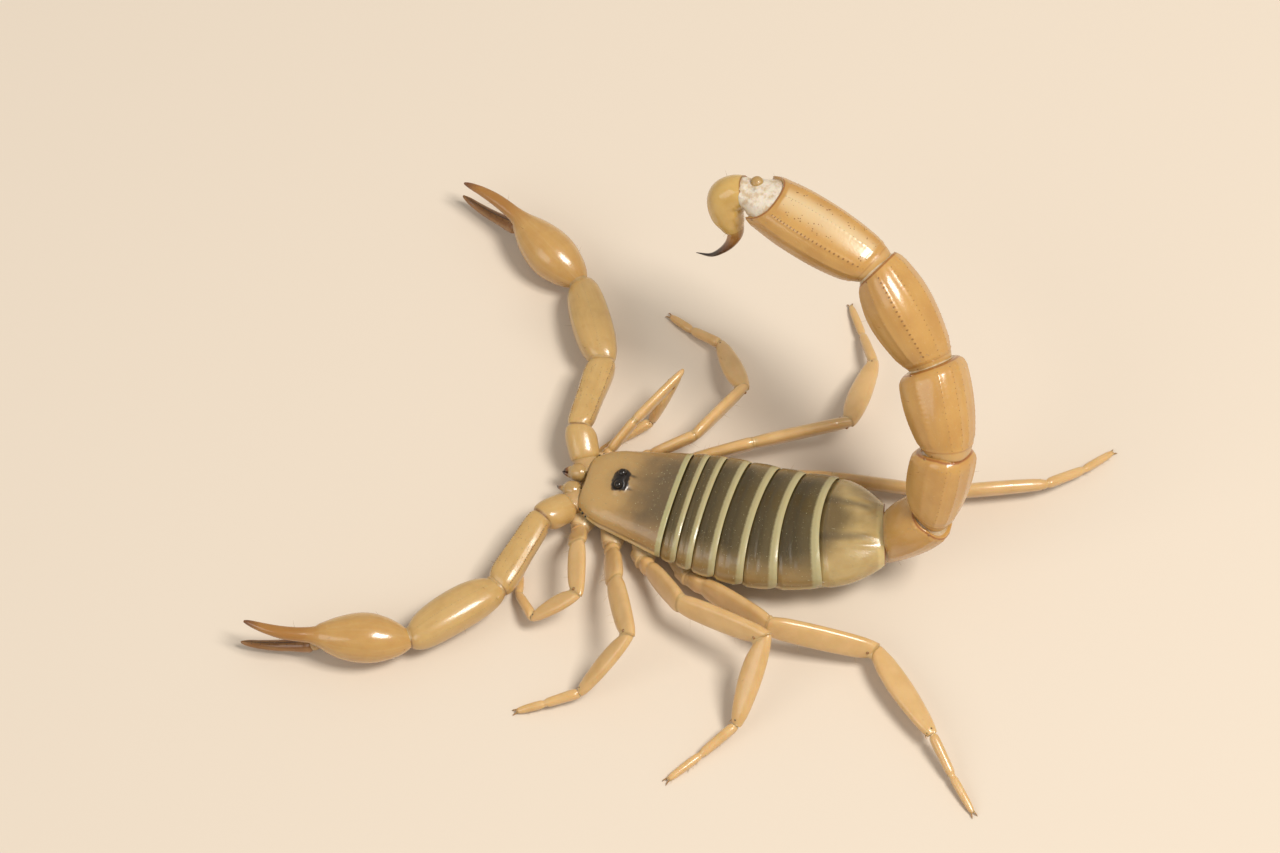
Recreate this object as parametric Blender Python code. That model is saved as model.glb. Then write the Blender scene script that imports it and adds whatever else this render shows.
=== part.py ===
"""A desert scorpion as a still, life-size model.

The animal looks along -Y and its left side is +X.  It stands with its feet at
z = 0, its claws held out to the front, and its tail arched up over the rear
and leaning to its right.  All sizes below are in millimetres.
"""
import math

import bmesh
import bpy
from mathutils import Matrix, Vector

MM = 0.001
GAP = 0.12                    # clearance between neighbouring shell pieces

# ---- trunk ------------------------------------------------------------------
# One row for the front edge and one for each rear edge of the carapace and of
# the seven back plates: place along the body, sideways shift of the midline,
# turn in degrees, half width, height of the side margins, height of the back,
# and how far the middle of the edge lies forward of its two ends.
TRUNK_EDGES = (
    (-1.45, 0.00, 0, 1.68, 2.00, 2.80, 0.00),
    (3.95, 0.00, 0, 3.36, 2.10, 3.80, 0.05),
    (4.85, 0.00, 0, 3.50, 2.15, 3.90, 0.10),
    (5.80, 0.00, 0, 3.66, 2.15, 3.95, 0.15),
    (7.15, 0.00, 0, 3.75, 2.20, 4.05, 0.25),
    (8.80, -0.05, 0, 3.80, 2.25, 4.15, 0.35),
    (10.50, -0.25, 3, 3.68, 2.30, 4.20, 0.50),
    (12.60, -0.70, 8, 3.42, 2.50, 4.30, 0.65),
    (15.38, -1.17, 17, 1.78, 3.10, 4.45, 0.10),
)
PLATE_STEP = 0.14             # how far a rear edge stands over the next plate
PLATE_LIP = 0.25              # thickness of a plate at its side margin
# Belly sections: trunk edge, place behind it, half width, height of the underside.
BELLY_SECTIONS = (
    (2, 1.00, 2.30, 0.85), (3, 0.70, 2.45, 0.80), (4, 0.10, 2.70, 0.75), (5, 0.00, 3.15, 0.75),
    (6, 0.00, 3.48, 0.80), (7, 0.00, 3.25, 1.05), (8, -0.06, 1.66, 2.00),
)
# Underside of the head: place along the body, half width, height of the underside.
COXA_SECTIONS = ((-1.50, 1.25, 1.05), (-0.90, 1.75, 0.70), (1.00, 2.40, 0.60), (3.00, 2.80, 0.60),
                 (4.90, 3.00, 0.60), (5.60, 2.60, 0.85))
# Carapace sections: part of its length, widening, rise over the straight line of its back.
CARAPACE_STATIONS = ((0.0, 0.86, -0.20), (0.025, 0.97, -0.04), (0.12, 1.10, 0.10),
                     (0.26, 1.13, 0.14), (0.38, 1.10, 0.22), (0.50, 1.07, 0.16),
                     (0.70, 1.03, 0.06), (0.88, 1.01, 0.02), (1.0, 0.985, 0.0))
PLATE_STATIONS = ((0.0, 0.97, -PLATE_STEP), (0.45, 1.0, 0.03), (0.86, 1.0, 0.04), (1.0, 0.985, 0.0))
LAST_PLATE_BULGE = 0.32       # how far the seventh plate's sides swell beyond straight lines
EYE_RADIUS = 0.27
EYE_SPREAD = 0.39
EYE_PLACE = 0.60              # along the body
EYE_HEIGHT = 3.66
EYE_SOCKET_RADIUS = 0.34
CHELICERA_START, CHELICERA_END = (0.62, -1.66, 1.98), (0.50, -2.95, 1.75)
PECTINE_START, PECTINE_END = (0.35, 5.75, 0.42), (3.30, 8.60, 0.45)

# ---- pedipalps --------------------------------------------------------------
PALP_LENGTHS = (2.0, 4.7, 5.7, 5.1, 4.1)      # trochanter, femur, patella, hand, finger
PALP_ROOT = (1.5, -1.9, 1.75)
# (heading, pitch) of each length in degrees; heading 0 is forwards, 90 is to the left
PALP_POSE = {
    "left": ((53, 16), (77, -6), (51, -1), (18, 2), (9, 12)),
    "right": ((-60, 20), (-89, -6), (-59, -5), (-30, 6), (-20, 6)),
}
FINGER_POSE = {"left": (13, -8), "right": (-20, -9)}
FINGER_DROP = 0.75            # the lower finger's hinge lies this far below the hand's axis
FINGER_LEAD = 0.15            # and this far in front of the hand's end

# ---- legs -------------------------------------------------------------------
# femur with trochanter, patella, tibia, first and second tarsus
LEG_LENGTHS = (
    (2.6, 3.1, 3.0, 2.1, 1.4),
    (3.3, 4.2, 4.4, 2.0, 1.6),
    (4.4, 5.4, 5.1, 2.5, 2.3),
    (6.0, 6.1, 5.9, 2.5, 2.3),
)
LEG_ROOTS = ((2.45, -1.05, 1.20), (2.95, 1.0, 1.15), (3.30, 3.0, 1.10), (3.42, 5.7, 0.98))
LEG_POSE = {
    ("left", 1): ((105, 43), (107, 0), (31, -35), (-48, -20)),
    ("left", 2): ((111, 26), (118, 16), (55, -41), (33, -8)),
    ("left", 3): ((137, 23), (166, 13), (86, -38), (56, -13)),
    ("left", 4): ((155, 16), (189, -12), (138, -1), (133, -15)),
    ("right", 1): ((-120, 32), (-118, 12), (60, -56), (45, -12)),
    ("right", 2): ((-150, 27), (-113, -3), (-55, -22), (-18, -12)),
    ("right", 3): ((-154, 16), (-151, 5), (-91, -15), (-59, -20)),
    ("right", 4): ((-166, 3), (-171, -1), (-157, 0), (-134, -11)),
}
TOE_HEADING = {
    ("left", 1): -77, ("left", 2): 27, ("left", 3): 56, ("left", 4): 136,
    ("right", 1): 50, ("right", 2): -23, ("right", 3): -57, ("right", 4): -123,
}
LEG_GIRTHS = (0.86, 1.0, 1.12, 1.18)
TOE_HEIGHT = 0.17             # height of the toe's centre; its underside is flat at 0

# ---- tail -------------------------------------------------------------------
TAIL_ROOT = (-1.10, 15.72, 3.35)
TAIL_LENGTHS = (4.05, 4.6, 4.8, 6.0, 7.5)
TAIL_POSE = ((-174, 53), (-92, 68), (-59, 32), (-36, 34), (-15, 7))
# turn of each segment in degrees about its own length; its back faces forwards at 0
TAIL_ROOT_WAY = (-152, -53)     # turns the first segment's front face to the last back plate
TAIL_ROLLS = (6, -21, -21, -32, -77)
TAIL_HALF_WIDTHS = (1.62, 1.72, 1.88, 1.80, 1.74)
TAIL_HALF_HEIGHTS = (1.50, 1.66, 1.80, 1.72, 1.58)
TAIL_RISES = (0, 0.2, 0, 0, 0)      # how far a segment lies to the dorsal side of its joints
TAIL_REACH = 0.30             # how far a segment's end stands out on the outer side of a bend
VENT_SLOPE = 5.0              # how steeply the last segment's end is cut back on its underside
# from the tail's end to the bulb's open base, then the steps of the middle line through
# bulb and sting to its tip (length, heading, pitch), and the radius after each step
TELSON_BASE = (-0.10, -0.77, 0.02)
TELSON_STEPS = ((0.71, 11, -25), (0.66, 28, -50), (0.82, 115, -63), (0.77, 143, -54),
                (0.58, 140, -58), (0.69, 63, -66), (0.81, 27, -57), (0.95, 9, -47),
                (1.07, -13, -30))
TELSON_RADII = (0.84, 0.98, 1.05, 0.97, 0.72, 0.47, 0.31, 0.22, 0.14, 0.05)
BULB_STEPS = 5                # the first steps belong to the bulb, the others to the sting


def direction(heading, pitch):
    """Unit vector from a heading (0 forwards, 90 left) and a pitch above the level."""
    h, p = math.radians(heading), math.radians(pitch)
    return Vector((math.sin(h) * math.cos(p), -math.cos(h) * math.cos(p), math.sin(p)))


def chain(root, lengths, pose):
    """Joint points of a limb from its root, its lengths and its directions."""
    points = [Vector(root)]
    for length, (heading, pitch) in zip(lengths, pose):
        points.append(points[-1] + direction(heading, pitch) * length)
    return points


def outline(sides, half_width, half_height, squareness):
    """Superellipse around a limb; squareness 1 is an ellipse, less is boxier."""
    points = []
    for i in range(sides):
        angle = 2 * math.pi * (i + 0.5) / sides
        c, s = math.cos(angle), math.sin(angle)
        points.append((math.copysign(abs(c) ** squareness, c) * half_width,
                       math.copysign(abs(s) ** squareness, s) * half_height))
    return points


def length_rings(start, end, stations, sides, before=None, after=None,
                 dorsal=(0, 0, 1), squareness=0.85, reach=math.inf):
    """Rings along one straight length of a limb.

    A station is (place 0..1, half width, half height, sideways shift, upward
    shift).  Towards a joint the rings lean into the plane that halves the bend
    there, so that neighbours meet face to face.  On the outer side of the bend
    a ring stands out by at most the reach; soft skin closes the rest.
    """
    span = end - start
    along = span.normalized()
    up = Vector(dorsal)
    up = (up - along * up.dot(along)).normalized()
    side = along.cross(up)
    plane_a = (along + before.normalized()).normalized() if before else along
    plane_b = (along + after.normalized()).normalized() if after else along
    rings = []
    for place, half_width, half_height, shift, rise in stations:
        ring = []
        for x, z in outline(sides, half_width, half_height, squareness):
            offset = side * (x + shift) + up * (z + rise)
            lean_a = max(-reach, -offset.dot(plane_a) / along.dot(plane_a)) + GAP / 2
            lean_b = min(reach, -offset.dot(plane_b) / along.dot(plane_b)) - GAP / 2
            lean = lean_a * (1 - place) ** 3 + lean_b * place ** 3
            ring.append(start + span * place + offset + along * lean)
        rings.append(ring)
    return rings


def make_material(name, color, roughness):
    material = bpy.data.materials.new(name)
    material.use_nodes = True
    shader = material.node_tree.nodes["Principled BSDF"]
    shader.inputs["Base Color"].default_value = (*color, 1.0)
    shader.inputs["Roughness"].default_value = roughness
    shader.inputs["Metallic"].default_value = 0.0
    return material


def add_solid(name, rings, color, roughness=0.4):
    """Close a row of rings into one solid and put it in the scene, in metres."""
    bm = bmesh.new()
    loops = [[bm.verts.new(point * MM) for point in ring] for ring in rings]
    for low, high in zip(loops, loops[1:]):
        for i in range(len(low)):
            j = (i + 1) % len(low)
            bm.faces.new((low[i], low[j], high[j], high[i]))
    bm.faces.new(list(reversed(loops[0])))
    bm.faces.new(loops[-1])
    bmesh.ops.recalc_face_normals(bm, faces=bm.faces[:])
    return add_mesh(name, bm, color, roughness)


def add_mesh(name, bm, color, roughness=0.4):
    mesh = bpy.data.meshes.new(name)
    bm.to_mesh(mesh)
    bm.free()
    mesh.shade_smooth()
    mesh.set_sharp_from_angle(angle=math.radians(40))
    obj = bpy.data.objects.new(name, mesh)
    mesh.materials.append(make_material(name, color, roughness))
    PARTS.objects.link(obj)
    return obj


def cut(obj, cutter):
    """Take the cutter's shape out of a piece."""
    CUTTERS.objects.link(cutter)
    cutter.hide_render = True
    cutter.display_type = "WIRE"
    boolean = obj.modifiers.new("cut", "BOOLEAN")
    boolean.operation = "DIFFERENCE"
    boolean.solver = "EXACT"
    boolean.object = cutter


# ---- colours ----------------------------------------------------------------
STRAW = (0.62, 0.46, 0.20)
OLIVE = (0.16, 0.13, 0.07)
TAN = (0.58, 0.36, 0.15)
AMBER = (0.45, 0.22, 0.07)
CREAM = (0.66, 0.56, 0.30)
DARK = (0.03, 0.015, 0.01)


# ---- trunk ------------------------------------------------------------------
def between(index, part):
    """A trunk cross-section between edge index and the next one."""
    return [a + (b - a) * part for a, b in zip(TRUNK_EDGES[index], TRUNK_EDGES[index + 1])]


def trunk_point(section, x, z):
    """A point of a cross-section, from its sideways place and its height."""
    place, shift, turn, half_width = section[:4]
    place -= section[6] * max(0.0, 1 - (x / half_width) ** 2)
    angle = math.radians(turn)
    return Vector((shift + x * math.cos(angle), place + x * math.sin(angle), z))


def plate_ring(section, half_width, margin, back, columns=12, fullness=0.78):
    """The arched outline of a back plate, closed by its thin side margins."""
    ring = []
    for i in range(columns + 1):
        angle = math.pi * i / columns
        c, s = math.cos(angle), math.sin(angle)
        x = half_width * math.copysign(abs(c) ** fullness, c)
        z = margin + (back - margin) * abs(s) ** fullness
        ring.append(trunk_point(section, x, z))
    ring.append(trunk_point(section, -half_width * 0.97, margin - PLATE_LIP))
    ring.append(trunk_point(section, half_width * 0.97, margin - PLATE_LIP))
    return ring


def make_carapace():
    """The head shield: narrow in front, its two main eyes on a low mound."""
    rings = []
    for part, widen, rise in CARAPACE_STATIONS:
        section = between(0, part)
        section[0] -= GAP * part
        rings.append(plate_ring(section, section[3] * widen, section[4], section[5] + rise,
                                columns=14))
    carapace = add_solid("carapace", rings, STRAW)
    for sign, side in ((1, "left"), (-1, "right")):
        centre = Vector((sign * EYE_SPREAD, EYE_PLACE, EYE_HEIGHT)) * MM
        bm = bmesh.new()
        bmesh.ops.create_uvsphere(bm, u_segments=12, v_segments=8, radius=EYE_RADIUS * MM,
                                  matrix=Matrix.Translation(centre))
        add_mesh("eye_median_" + side, bm, DARK, 0.05)
        bm = bmesh.new()
        bmesh.ops.create_uvsphere(bm, u_segments=12, v_segments=8,
                                  radius=EYE_SOCKET_RADIUS * MM,
                                  matrix=Matrix.Translation(centre))
        socket = bpy.data.objects.new("socket_" + side, bpy.data.meshes.new("socket_" + side))
        bm.to_mesh(socket.data)
        bm.free()
        cut(carapace, socket)


def make_back_plates():
    """Seven tergites, each standing a little over the one behind it."""
    for plate in range(1, 8):
        rings = []
        for part, widen, rise in PLATE_STATIONS:
            section = between(plate, part)
            # both ends are trimmed, so that a gap is left at each edge
            section[0] += GAP * (0.75 - 1.5 * part)
            bulge = math.sin(math.pi * part) * LAST_PLATE_BULGE if plate == 7 else 0.0
            rings.append(plate_ring(section, section[3] * widen + bulge, section[4],
                                    section[5] + rise + bulge * 0.3))
        add_solid("tergite_%d" % plate, rings, OLIVE if plate < 7 else TAN)


def under_ring(section, half_width, top, bottom, columns=10, fullness=0.8):
    """A hanging arch: flat on top, rounded below."""
    ring = []
    for i in range(columns + 1):
        angle = math.pi * i / columns
        c, s = math.cos(angle), math.sin(angle)
        x = half_width * math.copysign(abs(c) ** fullness, c)
        ring.append(trunk_point(section, x, top - (top - bottom) * abs(s) ** fullness))
    return ring


def make_belly():
    """The soft sides and the belly plates, one solid under the seven tergites."""
    rings = []
    for index, behind, half_width, bottom in BELLY_SECTIONS:
        section = list(TRUNK_EDGES[index])
        section[0] += behind
        rings.append(under_ring(section, half_width, section[4] - PLATE_LIP - GAP, bottom))
    add_solid("belly", rings, STRAW)


def make_coxae():
    """The underside of the head: the leg coxae and the small sternum between them."""
    rings = []
    top = TRUNK_EDGES[0][4] - PLATE_LIP - GAP
    for place, half_width, bottom in COXA_SECTIONS:
        section = (place, 0.0, 0, half_width, 0, 0, 0.0)
        rings.append(under_ring(section, half_width, top, bottom))
    add_solid("coxae", rings, TAN)


# Stations here and below: place 0..1, half width, half height, sideways shift, rise.
CHELICERA_STATIONS = ((0.0, 0.40, 0.46, 0, 0), (0.12, 0.53, 0.58, 0, 0), (0.50, 0.53, 0.56, 0, 0),
                      (0.68, 0.42, 0.45, 0, 0), (0.86, 0.27, 0.28, 0, -0.02),
                      (1.0, 0.12, 0.13, 0, -0.06))
PECTINE_STATIONS = ((0.0, 0.38, 0.17, 0, 0), (0.10, 0.52, 0.19, 0, 0), (0.55, 0.62, 0.19, 0, 0),
                    (0.85, 0.50, 0.19, 0, 0), (1.0, 0.25, 0.16, 0, 0))


def mirrored(point, sign):
    """The point on the left side, or its mirror image on the right for sign -1."""
    return Vector((point[0] * sign, point[1], point[2]))


def make_chelicera(side, sign):
    """A small jaw claw beside the midline, its two short fingers closed."""
    start, end = mirrored(CHELICERA_START, sign), mirrored(CHELICERA_END, sign)
    add_solid("chelicera_" + side, length_rings(start, end, CHELICERA_STATIONS, 12), AMBER)


def make_pectine(side, sign):
    """A comb-shaped feeler behind the last coxa, lying back along the belly."""
    start, end = mirrored(PECTINE_START, sign), mirrored(PECTINE_END, sign)
    add_solid("pectine_" + side, length_rings(start, end, PECTINE_STATIONS, 10), CREAM)


# ---- pedipalps --------------------------------------------------------------
TROCHANTER_STATIONS = ((0.0, 0.72, 0.62, 0, 0), (0.25, 0.88, 0.78, 0, 0), (0.70, 0.88, 0.80, 0, 0),
                       (1.0, 0.62, 0.58, 0, 0))
PALP_FEMUR_STATIONS = ((0.0, 0.56, 0.52, 0, 0), (0.10, 0.74, 0.66, 0, 0), (0.45, 0.78, 0.70, 0, 0),
                       (0.85, 0.84, 0.74, 0, 0), (1.0, 0.66, 0.60, 0, 0))
PALP_PATELLA_STATIONS = ((0.0, 0.62, 0.56, 0, 0), (0.10, 0.90, 0.80, 0, 0),
                         (0.30, 1.12, 0.95, 0, 0.05), (0.62, 1.12, 0.98, 0, 0.05),
                         (0.88, 0.92, 0.84, 0, 0), (1.0, 0.66, 0.62, 0, 0))
HAND_STATIONS = ((0.0, 0.55, 0.55, 0, 0), (0.07, 0.92, 0.90, 0, 0), (0.22, 1.26, 1.24, 0, 0),
                 (0.42, 1.38, 1.36, 0, 0), (0.65, 1.34, 1.34, 0, 0), (0.85, 1.12, 1.16, 0, 0.04),
                 (0.97, 0.86, 0.82, 0, 0.22))
UPPER_FINGER_STATIONS = ((0.06, 0.60, 0.52, 0, 0.34), (0.25, 0.47, 0.40, 0, 0.36),
                         (0.50, 0.40, 0.34, 0, 0.30), (0.75, 0.32, 0.29, 0, 0.16),
                         (0.92, 0.26, 0.25, 0, 0.02), (1.0, 0.14, 0.16, 0, -0.06))
LOWER_FINGER_STATIONS = ((0.0, 0.34, 0.30, 0, 0.06), (0.06, 0.52, 0.46, 0, 0.02),
                         (0.28, 0.44, 0.38, 0, -0.14), (0.52, 0.38, 0.33, 0, -0.20),
                         (0.76, 0.32, 0.29, 0, -0.12), (0.93, 0.26, 0.25, 0, 0.04),
                         (1.0, 0.14, 0.16, 0, 0.12))


def make_pedipalp(side, sign):
    """Arm with the big claw: trochanter, femur, patella, hand and moving finger."""
    points = chain(mirrored(PALP_ROOT, sign), PALP_LENGTHS, PALP_POSE[side])
    spans = [b - a for a, b in zip(points, points[1:])]
    name = "pedipalp_%s_" % side
    add_solid(name + "trochanter", length_rings(points[0], points[1], TROCHANTER_STATIONS, 10,
                                                after=spans[1]), TAN)
    add_solid(name + "femur", length_rings(points[1], points[2], PALP_FEMUR_STATIONS, 12,
                                           spans[0], spans[2], squareness=0.7), TAN)
    add_solid(name + "patella", length_rings(points[2], points[3], PALP_PATELLA_STATIONS, 12,
                                             spans[1], spans[3], squareness=0.75), TAN)
    rings = length_rings(points[3], points[4], HAND_STATIONS, 14, spans[2])
    rings += length_rings(points[4], points[5], UPPER_FINGER_STATIONS, 14)
    add_solid(name + "hand", rings, TAN)
    hinge = points[4] + direction(PALP_POSE[side][3][0], 0) * FINGER_LEAD
    hinge.z -= FINGER_DROP
    tip = hinge + direction(*FINGER_POSE[side]) * PALP_LENGTHS[4]
    add_solid(name + "finger", length_rings(hinge, tip, LOWER_FINGER_STATIONS, 10), AMBER)


# ---- legs -------------------------------------------------------------------
LEG_LEAN = 0.42                 # how far the legs' flat lengths lean to the midline, per mm up
# the back of the two legs whose flat lengths are turned otherwise
LEG_BACKS = {("left", 1): (-0.23, 0.76, 0.57), ("left", 2): (-0.49, 0.50, 0.70)}
# a tibia is flat in the plane in which its leg bends, except for one
TIBIA_BACKS = {("right", 4): (0.4, 0, 1)}
LEG_FEMUR_STATIONS = ((0.0, 0.30, 0.40, 0, 0), (0.12, 0.32, 0.50, 0, 0), (0.45, 0.33, 0.68, 0, 0),
                      (0.88, 0.33, 0.66, 0, 0), (1.0, 0.30, 0.48, 0, 0))
LEG_PATELLA_STATIONS = ((0.0, 0.30, 0.44, 0, 0), (0.10, 0.32, 0.62, 0, 0), (0.50, 0.32, 0.66, 0, 0),
                        (0.90, 0.31, 0.56, 0, 0), (1.0, 0.29, 0.42, 0, 0))
TIBIA_STATIONS = ((0.0, 0.30, 0.36, 0, 0), (0.10, 0.32, 0.48, 0, 0), (0.48, 0.34, 0.60, 0, 0),
                  (0.96, 0.29, 0.34, 0, 0))
BASITARSUS_STATIONS = ((0.06, 0.30, 0.33, 0, 0), (0.50, 0.32, 0.35, 0, 0), (0.94, 0.27, 0.29, 0, 0))
TOE_STATIONS = ((0.08, 0.26, 0.28, 0, 0), (0.55, 0.27, 0.29, 0, 0), (0.85, 0.26, 0.27, 0, 0),
                (1.0, 0.24, 0.22, 0, 0))


def scaled(stations, girth):
    """The same stations with all their cross sizes multiplied."""
    return tuple((s[0],) + tuple(value * girth for value in s[1:]) for s in stations)


def leg_points(side, sign, number):
    """Joint points of a leg; the toe's pitch is what sets it down on the floor."""
    lengths = LEG_LENGTHS[number - 1]
    points = chain(mirrored(LEG_ROOTS[number - 1], sign), lengths[:4], LEG_POSE[side, number])
    pitch = math.degrees(math.asin((TOE_HEIGHT - points[-1].z) / lengths[4]))
    points.append(points[-1] + direction(TOE_HEADING[side, number], pitch) * lengths[4])
    return points


def make_leg(side, sign, number):
    """Walking leg in three nodes: femur with trochanter, patella, and foot."""
    points = leg_points(side, sign, number)
    spans = [b - a for a, b in zip(points, points[1:])]
    girth = LEG_GIRTHS[number - 1]
    lean = LEG_BACKS.get((side, number), (-sign * LEG_LEAN, 0, 1))
    name = "leg_%s_%d_" % (side, number)
    add_solid(name + "femur", length_rings(points[0], points[1],
                                           scaled(LEG_FEMUR_STATIONS, girth), 10,
                                           after=spans[1], dorsal=lean), CREAM)
    add_solid(name + "patella", length_rings(points[1], points[2],
                                             scaled(LEG_PATELLA_STATIONS, girth), 10,
                                             spans[0], spans[2], lean), CREAM)
    rings = length_rings(points[2], points[3], scaled(TIBIA_STATIONS, girth), 10,
                         spans[1], spans[3], TIBIA_BACKS.get((side, number), spans[1]))
    rings += length_rings(points[3], points[4], BASITARSUS_STATIONS, 10, spans[2], spans[4])
    rings += length_rings(points[4], points[5], TOE_STATIONS, 10, spans[3])
    for ring in rings:
        for point in ring:
            point.z = max(point.z, 0.0)      # the flat the foot stands on
    add_solid(name + "foot", rings, CREAM)


# ---- tail -------------------------------------------------------------------
FIRST_SEGMENT_PROFILE = ((0.0, 0.70), (0.08, 0.80), (0.25, 0.90), (0.45, 0.95), (0.70, 0.94),
                         (0.92, 0.86), (1.0, 0.74))
SEGMENT_PROFILE = ((0.0, 0.56), (0.08, 0.70), (0.20, 0.85), (0.45, 0.98), (0.70, 1.0),
                   (0.90, 0.98), (1.0, 0.84))
FOURTH_SEGMENT_PROFILE = ((0.0, 0.56), (0.08, 0.70), (0.20, 0.85), (0.45, 0.98), (0.70, 0.97),
                          (0.90, 0.84), (1.0, 0.66))
LAST_SEGMENT_PROFILE = ((0.0, 0.56), (0.06, 0.70), (0.15, 0.85), (0.40, 0.98), (0.70, 0.98),
                        (0.90, 0.90), (0.97, 0.82))
def tail_frames():
    """Joint points of the tail and the dorsal direction of each segment."""
    points = chain(TAIL_ROOT, TAIL_LENGTHS, TAIL_POSE)
    dorsals = []
    for a, b, roll in zip(points, points[1:], TAIL_ROLLS):
        along = (b - a).normalized()
        up = Vector((0, -1, 0))
        up = (up - along * up.dot(along)).normalized()
        dorsals.append(Matrix.Rotation(math.radians(roll), 3, along) @ up)
    return points, dorsals


def tube_rings(middles, radii, dorsal, sides, first, last):
    """Round rings square to a bent middle line between two of its points, a little short of both.

    Two lengths that meet at a point are cut there on the same plane, so they can't cross.
    """
    rings = []
    end = len(middles) - 1
    for index in range(first, last + 1):
        middle, radius = middles[index], radii[index]
        along = (middles[min(index + 1, end)] - middles[max(index - 1, 0)]).normalized()
        up = (dorsal - along * dorsal.dot(along)).normalized()
        side = along.cross(up)
        trim = along * GAP / 2 * ((index == first) - (index == last))
        rings.append([middle + trim + side * x + up * z
                      for x, z in outline(sides, radius, radius, 1.0)])
    return rings


def make_tail():
    """Five tail segments, the poison bulb and the sting."""
    points, dorsals = tail_frames()
    spans = [b - a for a, b in zip(points, points[1:])]
    for number in range(1, 6):
        profile = {1: FIRST_SEGMENT_PROFILE, 4: FOURTH_SEGMENT_PROFILE,
                   5: LAST_SEGMENT_PROFILE}.get(number, SEGMENT_PROFILE)
        stations = [(place, TAIL_HALF_WIDTHS[number - 1] * size,
                     TAIL_HALF_HEIGHTS[number - 1] * size, 0, TAIL_RISES[number - 1])
                    for place, size in profile]
        before = spans[number - 2] if number > 1 else direction(*TAIL_ROOT_WAY)
        way = spans[number - 1].normalized()
        after = spans[number] if number < 5 else way - dorsals[4] * VENT_SLOPE
        add_solid("tail_%d" % number,
                  length_rings(points[number - 1], points[number], stations, 16, before, after,
                               dorsals[number - 1], 0.8, TAIL_REACH), TAN)
    steps = [(length, (heading, pitch)) for length, heading, pitch in TELSON_STEPS]
    middles = chain(points[5] + Vector(TELSON_BASE), *zip(*steps))
    add_solid("telson_bulb", tube_rings(middles, TELSON_RADII, dorsals[4], 14, 0, BULB_STEPS),
              STRAW)
    add_solid("telson_sting", tube_rings(middles, TELSON_RADII, dorsals[4], 10, BULB_STEPS,
                                         len(middles) - 1), DARK)


def stand_on_origin():
    """Bring the middle of the whole model's footprint to x = y = 0."""
    corners = [vertex.co for obj in PARTS.objects for vertex in obj.data.vertices]
    middle_x = (min(c.x for c in corners) + max(c.x for c in corners)) / 2
    middle_y = (min(c.y for c in corners) + max(c.y for c in corners)) / 2
    for obj in list(PARTS.objects) + list(CUTTERS.objects):
        obj.data.transform(Matrix.Translation((-middle_x, -middle_y, 0)))


for old in list(bpy.data.objects):
    bpy.data.objects.remove(old, do_unlink=True)
PARTS = bpy.data.collections.new("desert_scorpion")
CUTTERS = bpy.data.collections.new("cutters")
bpy.context.scene.collection.children.link(PARTS)
bpy.context.scene.collection.children.link(CUTTERS)

make_carapace()
make_back_plates()
make_coxae()
make_belly()
make_tail()
for side_name, side_sign in (("left", 1), ("right", -1)):
    make_chelicera(side_name, side_sign)
    make_pectine(side_name, side_sign)
    make_pedipalp(side_name, side_sign)
    for leg_number in range(1, 5):
        make_leg(side_name, side_sign, leg_number)
stand_on_origin()
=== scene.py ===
"""The looks of a desert scorpion: its shell plates, limbs, claws, eyes, soft skin and bristles.

Shapes are worked out in millimetres in the animal's own frame: it looks along
-Y, its left side is +X and its midline is x = 0.  A finished piece is set down
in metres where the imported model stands.
"""

import math
import random

import bmesh
import bpy
from mathutils import Matrix, Vector, noise


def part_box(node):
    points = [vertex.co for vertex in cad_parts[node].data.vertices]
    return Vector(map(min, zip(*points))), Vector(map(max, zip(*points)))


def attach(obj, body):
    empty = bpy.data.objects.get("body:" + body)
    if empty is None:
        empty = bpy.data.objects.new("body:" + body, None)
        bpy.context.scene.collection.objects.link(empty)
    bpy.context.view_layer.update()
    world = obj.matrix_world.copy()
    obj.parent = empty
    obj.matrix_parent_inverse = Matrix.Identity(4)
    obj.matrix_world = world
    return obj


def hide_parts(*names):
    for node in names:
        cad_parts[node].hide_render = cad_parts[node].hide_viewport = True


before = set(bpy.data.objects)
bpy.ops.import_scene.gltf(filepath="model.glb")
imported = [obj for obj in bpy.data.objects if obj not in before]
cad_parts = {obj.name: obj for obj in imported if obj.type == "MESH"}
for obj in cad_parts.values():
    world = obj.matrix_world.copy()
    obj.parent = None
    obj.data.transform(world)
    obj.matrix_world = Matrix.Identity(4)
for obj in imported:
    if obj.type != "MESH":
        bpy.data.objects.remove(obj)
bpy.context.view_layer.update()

# ---- Place on the floor -------------------------------------------------------
# The left middle eye ties the animal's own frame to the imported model: its
# centre is known in both.  The floor is z = 0 in both.
MM = 0.001
EYE_CENTRE = Vector((0.39, 0.60, 3.66))
eye_low, eye_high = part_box("eye_median_left")
ORIGIN = (eye_low + eye_high) / 2 - EYE_CENTRE * MM
ORIGIN.z = 0.0


def set_down(point):
    """A point of the animal's own frame, in metres on the floor."""
    return ORIGIN + Vector(point) * MM


# ---- Studio -------------------------------------------------------------------
# A plain pale floor, a broad soft lamp overhead, a weaker one from the front
# and a dim pale room around them.  The camera looks down steeply from the left.
FLOOR_SIZE = 3.0
FLOOR_COLOR = (0.70, 0.61, 0.50, 1.0)
CAMERA_TARGET = (-5.5, 0.0, 0.0)
CAMERA_AZIMUTH, CAMERA_ELEVATION, CAMERA_DISTANCE = 107.5, 60.0, 300.0
CAMERA_LENS = 149.4

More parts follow.
